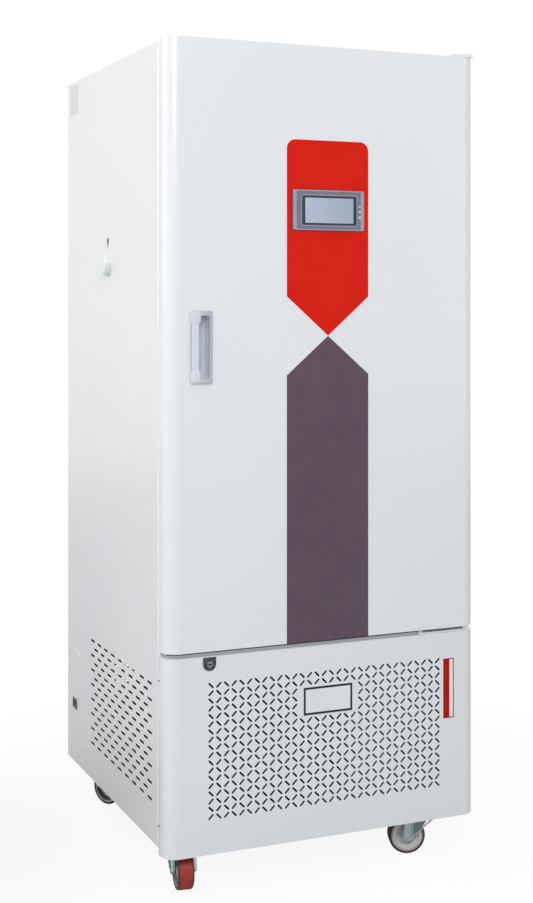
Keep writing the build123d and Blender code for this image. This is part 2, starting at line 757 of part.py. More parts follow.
# Inner glass door: a pane that closes the opening behind the outer door, held by two pivot shoes
# that turn in the front frame, with a knob at the free side
glass_thickness = 5.0
glass_side_gap = 10.0
glass_end_gap = 10.0
glass_from_pivot = 4.0
shoe_size = (44.0, 34.0)
shoe_wall = 3.0
knob_radius = 9.0
knob_length = 5.0
knob_from_edge = 28.0
knob_rooted = 1.0
shoe_beyond_pin = 2.0
glass_left_x = -chamber_x + glass_side_gap
glass_right_x = glass_pivot_x - glass_from_pivot
glass_front_y = glass_pivot_y - glass_thickness / 2
glass_back_y = glass_pivot_y + glass_thickness / 2
glass_low = chamber_floor + glass_end_gap
glass_high = chamber_roof - glass_end_gap
glass_middle = (glass_low + glass_high) / 2
shoe_gap = clearance
with BuildPart() as glass_pane:
    box_between(glass_left_x, glass_right_x, glass_front_y, glass_back_y, glass_low, glass_high)
    with BuildSketch(front_plane(glass_front_y)):
        with Locations((glass_left_x + knob_from_edge, glass_middle)):
            Circle(glass_pin_radius + fit_clearance)
    extrude(amount=-glass_thickness, mode=Mode.SUBTRACT)
finish(glass_pane, "glass_pane")
with BuildPart() as glass_door_fittings:
    shoe_right_x = glass_pivot_x + glass_pin_radius + shoe_beyond_pin
    shoe_half = glass_thickness / 2 + shoe_gap / 2 + shoe_wall
    shoe_floor = chamber_floor + glass_end_gap / 2
    shoe_roof = chamber_roof - glass_end_gap / 2
    for low, high, cut_low, cut_high in (
            (shoe_floor, shoe_floor + shoe_size[1], glass_low - shoe_gap, glass_high),
            (shoe_roof - shoe_size[1], shoe_roof, glass_low, glass_high + shoe_gap)):
        box_between(shoe_right_x - shoe_size[0], shoe_right_x, glass_pivot_y - shoe_half,
                    glass_pivot_y + shoe_half, low, high)
        box_between(glass_left_x, glass_right_x + shoe_gap, glass_front_y - shoe_gap / 2,
                    glass_back_y + shoe_gap / 2, cut_low, cut_high, mode=Mode.SUBTRACT)
    for low, high in ((chamber_floor - glass_pin_length, shoe_floor),
                      (shoe_roof, chamber_roof + glass_pin_length)):
        with BuildSketch(Plane.XY.offset(low)):
            with Locations((glass_pivot_x, glass_pivot_y)):
                Circle(glass_pin_radius)
        extrude(amount=high - low)
    for facing, start_y in ((1, glass_front_y - fit_clearance), (-1, glass_back_y + fit_clearance)):
        with BuildSketch(front_plane(start_y)):
            with Locations((glass_left_x + knob_from_edge, glass_middle)):
                Circle(knob_radius)
        extrude(amount=facing * knob_length)
    with BuildSketch(front_plane(glass_front_y - knob_rooted)):
        with Locations((glass_left_x + knob_from_edge, glass_middle)):
            Circle(glass_pin_radius)
    extrude(amount=-(glass_thickness + 2 * knob_rooted))
finish(glass_door_fittings, "glass_door_fittings")

# Air duct plate: the false back of the chamber, with a fan guard and slots at the foot
plenum_depth = 68.0
duct_fold = 10.0
fan_level = 1340.0
fan_radius = 80.0
guard_rings = 4
guard_ring_width = 3.0
duct_slot = (60.0, 6.0)
duct_slot_pitch = (80.0, 16.0)
duct_slot_counts = (6, 5)
duct_slots_level = 600.0
duct_front_y = chamber_back_y - plenum_depth
guard_radius = fan_radius + 2 * guard_ring_width
with BuildPart() as air_duct_plate:
    duct_x = chamber_x - clearance
    duct_low = chamber_floor + liner_corner
    duct_high = chamber_roof - liner_corner
    box_between(-duct_x, duct_x, duct_front_y, duct_front_y + sheet, duct_low, duct_high)
    for side in (-1, 1):
        fold_edge = side * (duct_x - sheet)
        box_between(min(side * duct_x, fold_edge), max(side * duct_x, fold_edge), duct_front_y,
                    duct_front_y + duct_fold, duct_low, duct_high)
    with BuildSketch(front_plane(duct_front_y)):
        with Locations((0, duct_slots_level)):
            with GridLocations(*duct_slot_pitch, *duct_slot_counts):
                SlotOverall(*duct_slot)
        with Locations((0, fan_level)):
            Circle(guard_radius)
            for ring in range(guard_rings, 0, -1):
                ring_radius = ring * (guard_radius / (guard_rings + 1))
                Circle(ring_radius + guard_ring_width, mode=Mode.SUBTRACT)
                Circle(ring_radius, mode=Mode.ADD)
            Rectangle(2 * guard_radius + sheet, guard_ring_width, mode=Mode.SUBTRACT)
            Rectangle(guard_ring_width, 2 * guard_radius + sheet, mode=Mode.SUBTRACT)
    extrude(amount=-sheet, mode=Mode.SUBTRACT)
finish(air_duct_plate, "air_duct_plate")

# Circulation motor and fan: on the liner's back wall, blowing through the guard
motor_radius = 38.0
motor_length = 34.0
shaft_radius = 4.0
fan_depth = 18.0
fan_hub_radius = 22.0
blade_count = 7
blade_thickness = 1.6
blade_lean = 35.0
blade_depth = 16.2
blade_rooted = 2.0
motor_round = 4.0
motor_bracket = (91.2, 19.0)


def fan_wheel(centre_x, centre_y, level, radius):
    """A fan on an axis along Y: hub, leaning blades and a bore for the shaft."""
    with BuildPart(Plane(origin=(centre_x, centre_y, level), x_dir=(1, 0, 0),
                         z_dir=(0, -1, 0))) as fan:
        Cylinder(fan_hub_radius, fan_depth)
        with PolarLocations((fan_hub_radius + radius - blade_rooted) / 2, blade_count):
            Box(radius - fan_hub_radius + blade_rooted, blade_thickness, blade_depth,
                rotation=(blade_lean, 0, 0))
        Cylinder(shaft_radius + fit_clearance, 2 * fan_depth, mode=Mode.SUBTRACT)
    return fan


def fan_motor(centre_x, back_face_y, level, length, shaft_length):
    """A motor on an axis along Y, flat at back_face_y, with its shaft pointing at the front."""
    with BuildPart(Plane(origin=(centre_x, back_face_y, level), x_dir=(1, 0, 0),
                         z_dir=(0, -1, 0))) as motor:
        Cylinder(motor_radius, length, align=(Align.CENTER, Align.CENTER, Align.MIN))
        fillet(motor.edges().group_by(Axis.Y)[0], motor_round)
        Cylinder(shaft_radius, length + shaft_length,
                 align=(Align.CENTER, Align.CENTER, Align.MIN))
        Box(*motor_bracket, sheet,
            align=(Align.CENTER, Align.CENTER, Align.MIN))
    return motor


fan_running_gap = 3.0
circulation_motor = fan_motor(0, chamber_back_y, fan_level, motor_length,
                              fan_running_gap + fan_depth)
finish(circulation_motor, "circulation_motor")
circulation_fan_y = chamber_back_y - motor_length - fan_running_gap - fan_depth / 2
circulation_fan = fan_wheel(0, circulation_fan_y, fan_level, fan_radius)
finish(circulation_fan, "circulation_fan")

# Evaporator: a block of fins on a serpentine of tube, between the duct plate and the back wall
evaporator_size = (420.0, 48.0, 180.0)
evaporator_level = 960.0
fin_pitch = 10.0
fin_thickness = 1.0
tube_radius = 4.8
evaporator_tube_rows = 4
evaporator_tube_y = 12.0
with BuildPart() as evaporator:
    fin_count = int(evaporator_size[0] // fin_pitch)
    fin_y = chamber_back_y - evaporator_size[1] / 2
    with BuildSketch(side_plane(-evaporator_size[0] / 2)):
        with Locations((fin_y - evaporator_tube_y, evaporator_level),
                       (fin_y + evaporator_tube_y, evaporator_level)):
            with GridLocations(1, evaporator_size[2] / evaporator_tube_rows, 1,
                               evaporator_tube_rows):
                Circle(tube_radius)
    extrude(amount=evaporator_size[0])
    with Locations((0, fin_y, evaporator_level)):
        with GridLocations(fin_pitch, 1, fin_count, 1):
            Box(fin_thickness, evaporator_size[1], evaporator_size[2])
finish(evaporator, "evaporator")

# Heater: a bent tubular element on two feet under the evaporator
heater_level = 780.0
heater_half_width = 180.0
heater_drop = 60.0
heater_radius = 4.0
heater_bend = 20.0
heater_foot = (16.0, 20.0)
with BuildPart() as heater_element:
    heater_y = chamber_back_y - evaporator_size[1] / 2
    with BuildLine(Plane(origin=(0, heater_y, 0), x_dir=(1, 0, 0), z_dir=(0, -1, 0))) as bend:
        FilletPolyline((-heater_half_width, heater_level + heater_drop),
                       (-heater_half_width, heater_level - heater_drop),
                       (-heater_half_width / 3, heater_level - heater_drop),
                       (-heater_half_width / 3, heater_level + heater_drop),
                       (heater_half_width / 3, heater_level + heater_drop),
                       (heater_half_width / 3, heater_level - heater_drop),
                       (heater_half_width, heater_level - heater_drop),
                       (heater_half_width, heater_level + heater_drop), radius=heater_bend)
    with BuildSketch(Plane(origin=bend.line @ 0, z_dir=bend.line % 0)):
        Circle(heater_radius)
    sweep()
    for side in (-1, 1):
        foot_x = side * heater_half_width
        box_between(foot_x - heater_foot[0] / 2, foot_x + heater_foot[0] / 2,
                    heater_y, chamber_back_y,
                    heater_level + heater_drop - heater_foot[1], heater_level + heater_drop)
finish(heater_element, "heater_element")

# Shelf uprights, clips and wire shelves
upright_width = 16.0
upright_depth = 8.0
upright_low = 560.0
upright_high = 1500.0
upright_y = (-180.0, 140.0)
upright_hole = (4.0, 10.0)
upright_hole_depth = 3.0
upright_hole_pitch = 40.0
shelf_levels = (700.0, 960.0, 1220.0)
shelf_half_width = 270.0
shelf_y = (-240.0, 205.0)
shelf_wire = 4.0
shelf_frame_bar = 6.0
shelf_wire_pitch = 22.0
clip_width = 14.0
clip_reach = 14.0
clip_height = 6.0
upright_inner_x = chamber_x - upright_depth
with BuildPart() as shelf_uprights:
    for side in (-1, 1):
        wall_x = side * chamber_x
        inner_x = side * upright_inner_x
        for y in upright_y:
            box_between(min(wall_x, inner_x), max(wall_x, inner_x), y - upright_width / 2,
                        y + upright_width / 2, upright_low, upright_high)
            hole_count = int((upright_high - upright_low) // upright_hole_pitch)
            with Locations((side * (upright_inner_x + upright_hole_depth / 2), y,
                            (upright_low + upright_high) / 2)):
                with Locations(*[(0, 0, (step - (hole_count - 1) / 2) * upright_hole_pitch)
                                 for step in range(hole_count)]):
                    Box(upright_hole_depth, *upright_hole, mode=Mode.SUBTRACT)
finish(shelf_uprights, "shelf_uprights")
with BuildPart() as shelf_clips:
    for side in (-1, 1):
        inner_x = side * upright_inner_x
        end_x = side * (upright_inner_x - clip_reach)
        for y in upright_y:
            for level in shelf_levels:
                box_between(min(inner_x, end_x), max(inner_x, end_x), y - clip_width / 2,
                            y + clip_width / 2, level - clip_height, level)
finish(shelf_clips, "shelf_clips")
with BuildPart() as wire_shelves:
    for level in shelf_levels:
        wire_count = int((2 * shelf_half_width - 2 * shelf_frame_bar) // shelf_wire_pitch)
        shelf_mid_y, shelf_length = span(*shelf_y)
        shelf_inner = upright_inner_x - fit_clearance - clearance
        with BuildSketch(Plane.XY.offset(level)):
            rounded_between(-shelf_inner, shelf_inner, *shelf_y, liner_corner)
            rectangle_between(-shelf_inner + shelf_frame_bar, shelf_inner - shelf_frame_bar,
                              shelf_y[0] + shelf_frame_bar, shelf_y[1] - shelf_frame_bar,
                              mode=Mode.SUBTRACT)
            with Locations((0, shelf_mid_y)):
                with GridLocations(shelf_wire_pitch, 1, wire_count, 1):
                    Rectangle(shelf_wire, shelf_length - shelf_frame_bar)
                with GridLocations(1, shelf_length / 3, 1, 2):
                    Rectangle(2 * shelf_inner - shelf_frame_bar, shelf_wire)
        extrude(amount=shelf_wire)
finish(wire_shelves, "wire_shelves")

# Temperature probe through the duct plate, and the lamp under the chamber's roof
probe_radius = 3.0
probe_length = 80.0
probe_spot = (200.0, 1430.0)
probe_tip_round = 2.0
probe_collar = (7.5, 6.0)
lamp_round = 5.0
lamp_size = (240.0, 40.0, 16.0)
lamp_y = -200.0
with BuildPart(Plane(origin=(probe_spot[0], duct_front_y, probe_spot[1]), x_dir=(1, 0, 0),
                     z_dir=(0, -1, 0))) as sensor_probe:
    Cylinder(probe_radius, probe_length, align=(Align.CENTER, Align.CENTER, Align.MIN))
    fillet(sensor_probe.edges().group_by(Axis.Y)[0], probe_tip_round)
    Cylinder(*probe_collar, align=(Align.CENTER, Align.CENTER, Align.MIN))
finish(sensor_probe, "sensor_probe")
with BuildPart() as interior_lamp:
    box_between(-lamp_size[0] / 2, lamp_size[0] / 2, lamp_y, lamp_y + lamp_size[1],
                chamber_roof - lamp_size[2], chamber_roof)
    fillet(interior_lamp.edges().group_by(Axis.Z)[0], lamp_round)
finish(interior_lamp, "interior_lamp")

# Test port: a sleeve through the left wall, and the plug that is pulled out of it
port_flange_radius = 25.5
port_flange = 2.0
plug_head_radius = 23.0
plug_head_length = 11.0
plug_head_round = 4.0
plug_body_length = 42.0
port_plane = Plane(origin=(-half_width, port_y, port_level), x_dir=(0, -1, 0), z_dir=(-1, 0, 0))
with BuildPart(port_plane) as test_port_sleeve:
    Cylinder(port_flange_radius, port_flange, align=(Align.CENTER, Align.CENTER, Align.MIN))
    Cylinder(port_tube, wall_side - liner_sheet,
             align=(Align.CENTER, Align.CENTER, Align.MAX))
    Cylinder(port_bore, 2 * wall_side, mode=Mode.SUBTRACT)
finish(test_port_sleeve, "test_port_sleeve")
with BuildPart(port_plane.offset(port_flange)) as test_port_plug:
    Cylinder(plug_head_radius, plug_head_length,
             align=(Align.CENTER, Align.CENTER, Align.MIN))
    fillet(test_port_plug.edges().group_by(Axis.X)[0], plug_head_round)
    Cylinder(port_bore - 2 * fit_clearance, plug_body_length,
             align=(Align.CENTER, Align.CENTER, Align.MAX))
finish(test_port_plug, "test_port_plug")

# Service cover and mains inlet, low at the rear of the left side
cover_thickness = 1.2
cover_corner = 8.0
inlet_flange = (31.0, 23.0)
inlet_flange_thickness = 2.0
inlet_depth = 26.0
inlet_wall = 1.5
inlet_pin = (2.0, 4.0, 14.0)
inlet_pin_spots = ((-7.0, -2.0), (0.0, 3.0), (7.0, -2.0))
with BuildPart() as service_cover:
    with BuildSketch(side_plane(-half_width)):
        rounded_between(*cover_y, *cover_z, cover_corner)
    extrude(amount=-cover_thickness)
finish(service_cover, "service_cover")
with BuildPart(Plane(origin=(-half_width, inlet_y, inlet_level), x_dir=(0, -1, 0),
                     z_dir=(-1, 0, 0))) as power_inlet:
    Box(inlet_flange[0], inlet_flange[1], inlet_flange_thickness,
        align=(Align.CENTER, Align.CENTER, Align.MIN))
    Box(inlet_size[0], inlet_size[1], inlet_depth,
        align=(Align.CENTER, Align.CENTER, Align.MAX))
    with Locations((0, 0, inlet_flange_thickness)):
        Box(inlet_size[0] - 2 * inlet_wall, inlet_size[1] - 2 * inlet_wall,
            inlet_depth - inlet_wall, align=(Align.CENTER, Align.CENTER, Align.MAX),
            mode=Mode.SUBTRACT)
    with Locations((0, 0, -inlet_depth + inlet_wall)):
        with Locations(*inlet_pin_spots):
            Box(*inlet_pin, align=(Align.CENTER, Align.CENTER, Align.MIN))
finish(power_inlet, "power_inlet")

# Compressor: a hermetic can on a foot plate, with two pipe stubs
compressor_spot = (-190.0, 150.0)
compressor_radius = 75.0
compressor_height = 180.0
compressor_foot = (200.0, 130.0, 4.0)
compressor_mount = 12.0
mount_radius = 10.0
compressor_dome = 35.0
pipe_radius = 5.0
pipe_stub = 35.0
pipe_rooted = 10.0
pipe_spots = ((0.0, -20.0), (30.0, 10.0))
with BuildPart(Plane(origin=(*compressor_spot, machine_floor))) as compressor:
    with GridLocations(compressor_foot[0] - 4 * mount_radius,
                       compressor_foot[1] - 3 * mount_radius, 2, 2):
        Cylinder(mount_radius, compressor_mount,
                 align=(Align.CENTER, Align.CENTER, Align.MIN))
    with Locations((0, 0, compressor_mount)):
        Box(*compressor_foot, align=(Align.CENTER, Align.CENTER, Align.MIN))
        Cylinder(compressor_radius, compressor_height,
                 align=(Align.CENTER, Align.CENTER, Align.MIN))
    fillet(compressor.edges().filter_by(GeomType.CIRCLE).group_by(Axis.Z)[-1],
           compressor_dome)
    for pipe_x, pipe_y in pipe_spots:
        with Locations((pipe_x, pipe_y, compressor_mount + compressor_height - pipe_rooted)):
            Cylinder(pipe_radius, pipe_stub, align=(Align.CENTER, Align.CENTER, Align.MIN))
finish(compressor, "compressor")

# Condenser: fins and tubes in a frame on the tray behind the grille, with its fan and motor
condenser_x = (-290.0, 60.0)
condenser_y = (-262.0, -212.0)
condenser_z_height = 290.0
condenser_fan_radius = 120.0
condenser_shroud = 2.0
condenser_fin_inset = 3.0
condenser_tube_gap = 25.0
condenser_tube_rows = 6
motor_post_half = 20.0
motor_foot = 30.0
condenser_level = machine_floor + condenser_z_height / 2 + condenser_shroud
condenser_mid_x = (condenser_x[0] + condenser_x[1]) / 2
with BuildPart() as condenser:
    condenser_top = machine_floor + condenser_z_height
    box_between(*condenser_x, *condenser_y, machine_floor, condenser_top)
    box_between(condenser_x[0] + condenser_shroud, condenser_x[1] - condenser_shroud,
                condenser_y[0], condenser_y[1], machine_floor + condenser_shroud,
                condenser_top - condenser_shroud, mode=Mode.SUBTRACT)
    condenser_fins = int((condenser_x[1] - condenser_x[0]) // fin_pitch) - 1
    with Locations((condenser_mid_x, (condenser_y[0] + condenser_y[1]) / 2,
                    (machine_floor + condenser_top) / 2)):
        with GridLocations(fin_pitch, 1, condenser_fins, 1):
            Box(fin_thickness, condenser_y[1] - condenser_y[0] - 2 * condenser_fin_inset,
                condenser_z_height)
    with BuildSketch(side_plane(condenser_x[0])):
        with Locations(((condenser_y[0] + condenser_y[1]) / 2,
                        (machine_floor + condenser_top) / 2)):
            with GridLocations(condenser_tube_gap, condenser_z_height / condenser_tube_rows, 2,
                               condenser_tube_rows):
                Circle(tube_radius)
    extrude(amount=condenser_x[1] - condenser_x[0])
finish(condenser, "condenser")
condenser_fan_y = condenser_y[1] + fan_running_gap + fan_depth
condenser_motor_length = 60.0
condenser_motor_back_y = (condenser_fan_y + fan_depth / 2 + fan_running_gap
                          + condenser_motor_length)
with BuildPart() as condenser_motor:
    add(fan_motor(condenser_mid_x, condenser_motor_back_y, condenser_level,
                  condenser_motor_length, fan_running_gap + fan_depth).part)
    box_between(condenser_mid_x - motor_post_half, condenser_mid_x + motor_post_half,
                condenser_motor_back_y, condenser_motor_back_y + base_sheet, machine_floor,
                condenser_level + motor_radius)
    box_between(condenser_mid_x - motor_post_half, condenser_mid_x + motor_post_half,
                condenser_motor_back_y - motor_foot, condenser_motor_back_y,
                machine_floor, machine_floor + base_sheet)
finish(condenser_motor, "condenser_motor")
condenser_fan = fan_wheel(condenser_mid_x, condenser_fan_y, condenser_level,
                          condenser_fan_radius)
finish(condenser_fan, "condenser_fan")

# Control box and water tank on the tray
control_box_x = (90.0, 310.0)
control_box_y = (-262.0, -130.0)
control_box_height = 300.0
tank_x = (100.0, 310.0)
tank_y = (-90.0, 250.0)
tank_height = 230.0
tank_wall = 3.0
tank_neck_radius = 22.0
tank_neck_height = 25.0
tank_neck_from_front = 60.0
tank_corner = 20.0
tank_top_round = 10.0
control_box_corner = 3.0
control_door_inset = 10.0
with BuildPart() as control_box:
    box_between(*control_box_x, *control_box_y, machine_floor,
                machine_floor + control_box_height)
    fillet(control_box.edges().filter_by(Axis.Z), control_box_corner)
    with BuildSketch(front_plane(control_box_y[0])):
        with Locations(((control_box_x[0] + control_box_x[1]) / 2,
                        machine_floor + control_box_height / 2)):
            RectangleRounded(control_box_x[1] - control_box_x[0] - 2 * control_door_inset,
                             control_box_height - 2 * control_door_inset, control_box_corner)
    extrude(amount=sheet)
finish(control_box, "control_box")
with BuildPart() as water_tank:
    box_between(*tank_x, *tank_y, machine_floor, machine_floor + tank_height)
    fillet(water_tank.edges().filter_by(Axis.Z), tank_corner)
    fillet(water_tank.edges().group_by(Axis.Z)[-1], tank_top_round)
    box_between(tank_x[0] + tank_wall, tank_x[1] - tank_wall, tank_y[0] + tank_wall,
                tank_y[1] - tank_wall, machine_floor + tank_wall,
                machine_floor + tank_height - tank_top_round, mode=Mode.SUBTRACT)
    with BuildSketch(Plane.XY.offset(machine_floor + tank_height - 2 * tank_wall)):
        with Locations(((tank_x[0] + tank_x[1]) / 2, tank_y[0] + tank_neck_from_front)):
            Circle(tank_neck_radius)
    extrude(amount=tank_neck_height + 2 * tank_wall)
    with BuildSketch(Plane.XY.offset(machine_floor + tank_wall)):
        with Locations(((tank_x[0] + tank_x[1]) / 2, tank_y[0] + tank_neck_from_front)):
            Circle(tank_neck_radius - tank_wall)
    extrude(amount=tank_height + tank_neck_height + tank_wall, mode=Mode.SUBTRACT)
finish(water_tank, "water_tank")

# Drain spigot: a hose tail out of the rear panel, with its flange inside
drain_proud = 18.0
drain_bore = 5.5
drain_flange_radius = 16.0
drain_flange = 3.0
drain_inside = 15.0
with BuildPart(Plane(origin=(drain_x, rear_face_y, drain_level), x_dir=(-1, 0, 0),
                     z_dir=(0, 1, 0))) as drain_spigot:
    Cylinder(drain_flange_radius, drain_flange, align=(Align.CENTER, Align.CENTER, Align.MAX))
    Cylinder(drain_neck_radius, sheet, align=(Align.CENTER, Align.CENTER, Align.MIN))
    Cylinder(drain_radius, sheet + drain_proud, align=(Align.CENTER, Align.CENTER, Align.MIN))
    Cylinder(drain_radius, drain_inside, align=(Align.CENTER, Align.CENTER, Align.MAX))
    Cylinder(drain_bore, 2 * (drain_inside + sheet + drain_proud), mode=Mode.SUBTRACT)
finish(drain_spigot, "drain_spigot")

# Casters: each has a plate with a kingpin bolted to the tray, a fork that swivels on it, and a
# wheel that turns on the fork's bolt. They stand where the photograph shows them, and a heading
# gives the way each wheel trails from its swivel, in degrees from +X.
wheel_radius = 37.5
wheel_width = 32.0
hub_radius = 32.5
boss_radius = 11.0
hub_web_radius = 24.0
hub_rim_recess = 2.0
hub_web_recess = 7.0
tread_round = 5.0
trail = 26.0
plate_size = (70.0, 60.0)
plate_sheet = 3.0
race_radius = 22.0
race_height = 5.0
kingpin_radius = 5.0
kingpin_head_radius = 9.0
kingpin_head_height = 3.0
crown_radius = 33.0
crown_height = 6.0
fork_side_gap = 2.0
fork_sheet = 3.0
fork_foot_radius = 11.0
axle_radius = 4.0
axle_head_radius = 6.5
axle_head_height = 4.0
plate_hole = 4.25
plate_hole_edge = 7.5
caster_spots = {
    "front_left": ((-282.0, -262.0), 261.0),
    "front_right": ((228.0, -296.0), 160.0),
    "rear_left": ((-282.0, 262.0), 300.0),
    "rear_right": ((282.0, 262.0), 250.0),
}
race_low = base_height - plate_sheet - race_height
crown_top = race_low - clearance
crown_low = crown_top - crown_height
fork_inner = wheel_width / 2 + fork_side_gap

with BuildPart() as caster_plates:
    for spot, heading in caster_spots.values():
        with Locations((*spot, base_height)):
            Box(*plate_size, plate_sheet, align=(Align.CENTER, Align.CENTER, Align.MAX))
        with Locations((*spot, base_height - plate_sheet)):
            Cylinder(race_radius, race_height, align=(Align.CENTER, Align.CENTER, Align.MAX))
            Cylinder(kingpin_radius, base_height - plate_sheet - crown_low + clearance,
                     align=(Align.CENTER, Align.CENTER, Align.MAX))
        with Locations((*spot, crown_low - clearance)):
            Cylinder(kingpin_head_radius, kingpin_head_height,
                     align=(Align.CENTER, Align.CENTER, Align.MAX))
        with Locations((*spot, base_height)):
            with GridLocations(plate_size[0] - 2 * plate_hole_edge,
                               plate_size[1] - 2 * plate_hole_edge, 2, 2):
                Cylinder(plate_hole, 3 * plate_sheet, mode=Mode.SUBTRACT)
finish(caster_plates, "caster_plates")

for corner, (spot, heading) in caster_spots.items():
    angle = math.radians(heading)
    roll = (math.cos(angle), math.sin(angle), 0)
    axle = (math.sin(angle), -math.cos(angle), 0)
    side_view = Plane(origin=(*spot, 0), x_dir=roll, z_dir=axle)
    wheel_view = Plane(origin=side_view.from_local_coords(Vector(trail, wheel_radius, 0)),
                       x_dir=roll, z_dir=axle)
    with BuildPart() as caster_fork:
        with BuildSketch(Plane(origin=(*spot, crown_low), x_dir=roll)):
            Circle(crown_radius)
        extrude(amount=crown_height)
        for side in (-1, 1):
            with BuildSketch(side_view.offset(side * fork_inner)):
                with Locations((0, crown_low + 1)):
                    Rectangle(2 * (crown_radius - 4), 2)
                with Locations((trail, wheel_radius)):
                    Circle(fork_foot_radius)
                make_hull()
            extrude(amount=side * fork_sheet)
        with BuildSketch(Plane(origin=(*spot, crown_low), x_dir=roll)):
            Circle(kingpin_radius + fit_clearance)
        extrude(amount=2 * crown_height, both=True, mode=Mode.SUBTRACT)
        with BuildSketch(wheel_view):
            Circle(axle_radius + fit_clearance)
        extrude(amount=2 * fork_inner, both=True, mode=Mode.SUBTRACT)
        with BuildSketch(wheel_view):
            Circle(axle_radius)
        extrude(amount=fork_inner + fork_sheet + axle_head_height, both=True)
        for side in (-1, 1):
            with BuildSketch(wheel_view.offset(
                    side * (fork_inner + fork_sheet + fit_clearance))):
                RegularPolygon(axle_head_radius, 6)
            extrude(amount=side * axle_head_height)
    finish(caster_fork, "caster_fork_" + corner)
    with BuildPart() as caster_wheel:
        with BuildSketch(Plane(origin=wheel_view.origin, x_dir=axle, z_dir=Vector(roll) * -1)):
            with BuildLine():
                half = wheel_width / 2
                rim = half - hub_rim_recess
                web = half - hub_web_recess
                Polyline((-half, axle_radius + 2 * fit_clearance), (-half, boss_radius),
                         (-web, boss_radius + hub_rim_recess), (-web, hub_web_radius),
                         (-rim, hub_web_radius + hub_rim_recess),
                         (-rim, hub_radius - fit_clearance), (rim, hub_radius - fit_clearance),
                         (rim, hub_web_radius + hub_rim_recess), (web, hub_web_radius),
                         (web, boss_radius + hub_rim_recess), (half, boss_radius),
                         (half, axle_radius + 2 * fit_clearance), close=True)
            make_face()
        revolve(axis=Axis(wheel_view.origin, axle))
        with BuildSketch(Plane(origin=wheel_view.origin, x_dir=axle, z_dir=Vector(roll) * -1)):
            rectangle_between(-half, half, hub_radius, wheel_radius)
            fillet(vertices().group_by(Axis.Y)[-1], tread_round)
        revolve(axis=Axis(wheel_view.origin, axle))
    finish(caster_wheel, "caster_wheel_" + corner)
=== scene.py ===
# %% [markdown]
# A climate chamber, dressed for a photograph
#
# The solids of the chamber come from its construction model: a steel cabinet on casters, a
# full-height door hinged on the right, a glass door behind it and the machinery under the chamber.
# This file gives every surface its finish, and adds or rebuilds the pieces whose look depends on
# soft edges and small detail: the handle's grip and caps, the trims and keys of the touch screen,
# the marks on the left side, the pressed edges of the caster forks, the wire shelves and the
# screws. Everything is in metres, with the door facing -Y and +Z up.

# %% Load the frame
import bmesh
import bpy
import json
import math
from mathutils import Matrix, Vector


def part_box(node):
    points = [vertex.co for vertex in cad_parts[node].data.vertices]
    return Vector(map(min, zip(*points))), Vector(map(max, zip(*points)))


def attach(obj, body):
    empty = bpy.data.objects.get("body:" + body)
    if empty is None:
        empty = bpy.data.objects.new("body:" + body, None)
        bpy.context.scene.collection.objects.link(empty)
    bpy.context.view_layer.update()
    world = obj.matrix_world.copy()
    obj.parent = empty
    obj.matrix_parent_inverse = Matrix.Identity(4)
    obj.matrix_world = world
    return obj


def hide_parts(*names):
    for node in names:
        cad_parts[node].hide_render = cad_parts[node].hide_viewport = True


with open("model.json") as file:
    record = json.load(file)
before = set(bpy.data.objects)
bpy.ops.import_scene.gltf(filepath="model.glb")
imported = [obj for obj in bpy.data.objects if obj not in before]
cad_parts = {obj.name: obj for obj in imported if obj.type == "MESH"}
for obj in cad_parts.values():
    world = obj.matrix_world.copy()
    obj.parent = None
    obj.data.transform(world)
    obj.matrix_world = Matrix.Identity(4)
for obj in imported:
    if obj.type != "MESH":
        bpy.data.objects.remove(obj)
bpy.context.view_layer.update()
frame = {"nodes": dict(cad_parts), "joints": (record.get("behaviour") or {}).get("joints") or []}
scene = bpy.context.scene
MM = 0.001


# %% [markdown]
# Colours are written as they look on a screen, as sRGB hex values. Shaders work with linear light,
# so one function turns the first into the second, and every colour goes through it. A second
# function adds a node with its settings and links, which keeps a material down to a few lines.

# %% Colours and nodes
def linear(hex_colour):
    """A hex sRGB colour as linear red, green, blue and alpha."""
    channels = [int(hex_colour[i:i + 2], 16) / 255 for i in (1, 3, 5)]
    return tuple(c / 12.92 if c <= 0.04045 else ((c + 0.055) / 1.055) ** 2.4
                 for c in channels) + (1.0,)


def add_node(tree, kind, inputs=None, tones=(), **settings):
    """Adds a node, sets its properties, and sets or links its inputs by name or number.
    A colour ramp also takes tones, which are the place and the colour of each of its ends."""
    node = tree.nodes.new(kind)
    for number, (place, tone) in enumerate(tones):
        node.color_ramp.elements[number].position = place
        node.color_ramp.elements[number].color = linear(tone)
    for key, value in settings.items():
        setattr(node, key, value)
    for key, value in (inputs or {}).items():
        socket = node.inputs[key]
        if isinstance(value, bpy.types.NodeSocket):
            tree.links.new(value, socket)
        else:
            socket.default_value = value
    return node


print("middle grey in linear light:", round(linear("#808080")[0], 3))


# %% [markdown]
# Every finish is one Principled shader. Its patterns read the piece's own coordinates, in metres,
# so that they keep their real size and stay on the piece when a door or a caster turns.

# %% A material and its coordinates
def new_material(name, colour, roughness, metallic=0.0, **shader_inputs):
    """A material with one shader. Returns the material, its tree and the shader."""
    material = bpy.data.materials.new(name)
    material.use_nodes = True
    tree = material.node_tree
    shader = tree.nodes["Principled BSDF"]
    shader.inputs["Base Color"].default_value = linear(colour)
    shader.inputs["Roughness"].default_value = roughness
    shader.inputs["Metallic"].default_value = metallic
    for key, value in shader_inputs.items():
        shader.inputs[key.replace("_", " ")].default_value = value
    return material, tree, shader


def object_coordinates(tree, scale=(1, 1, 1)):
    """A point on the piece in metres, stretched by scale."""
    place = add_node(tree, "ShaderNodeTexCoord")
    mapping = add_node(tree, "ShaderNodeMapping", {"Vector": place.outputs["Object"],
                                                   "Scale": scale})
    return mapping.outputs["Vector"]


print("finishes are drawn in metres on each piece")


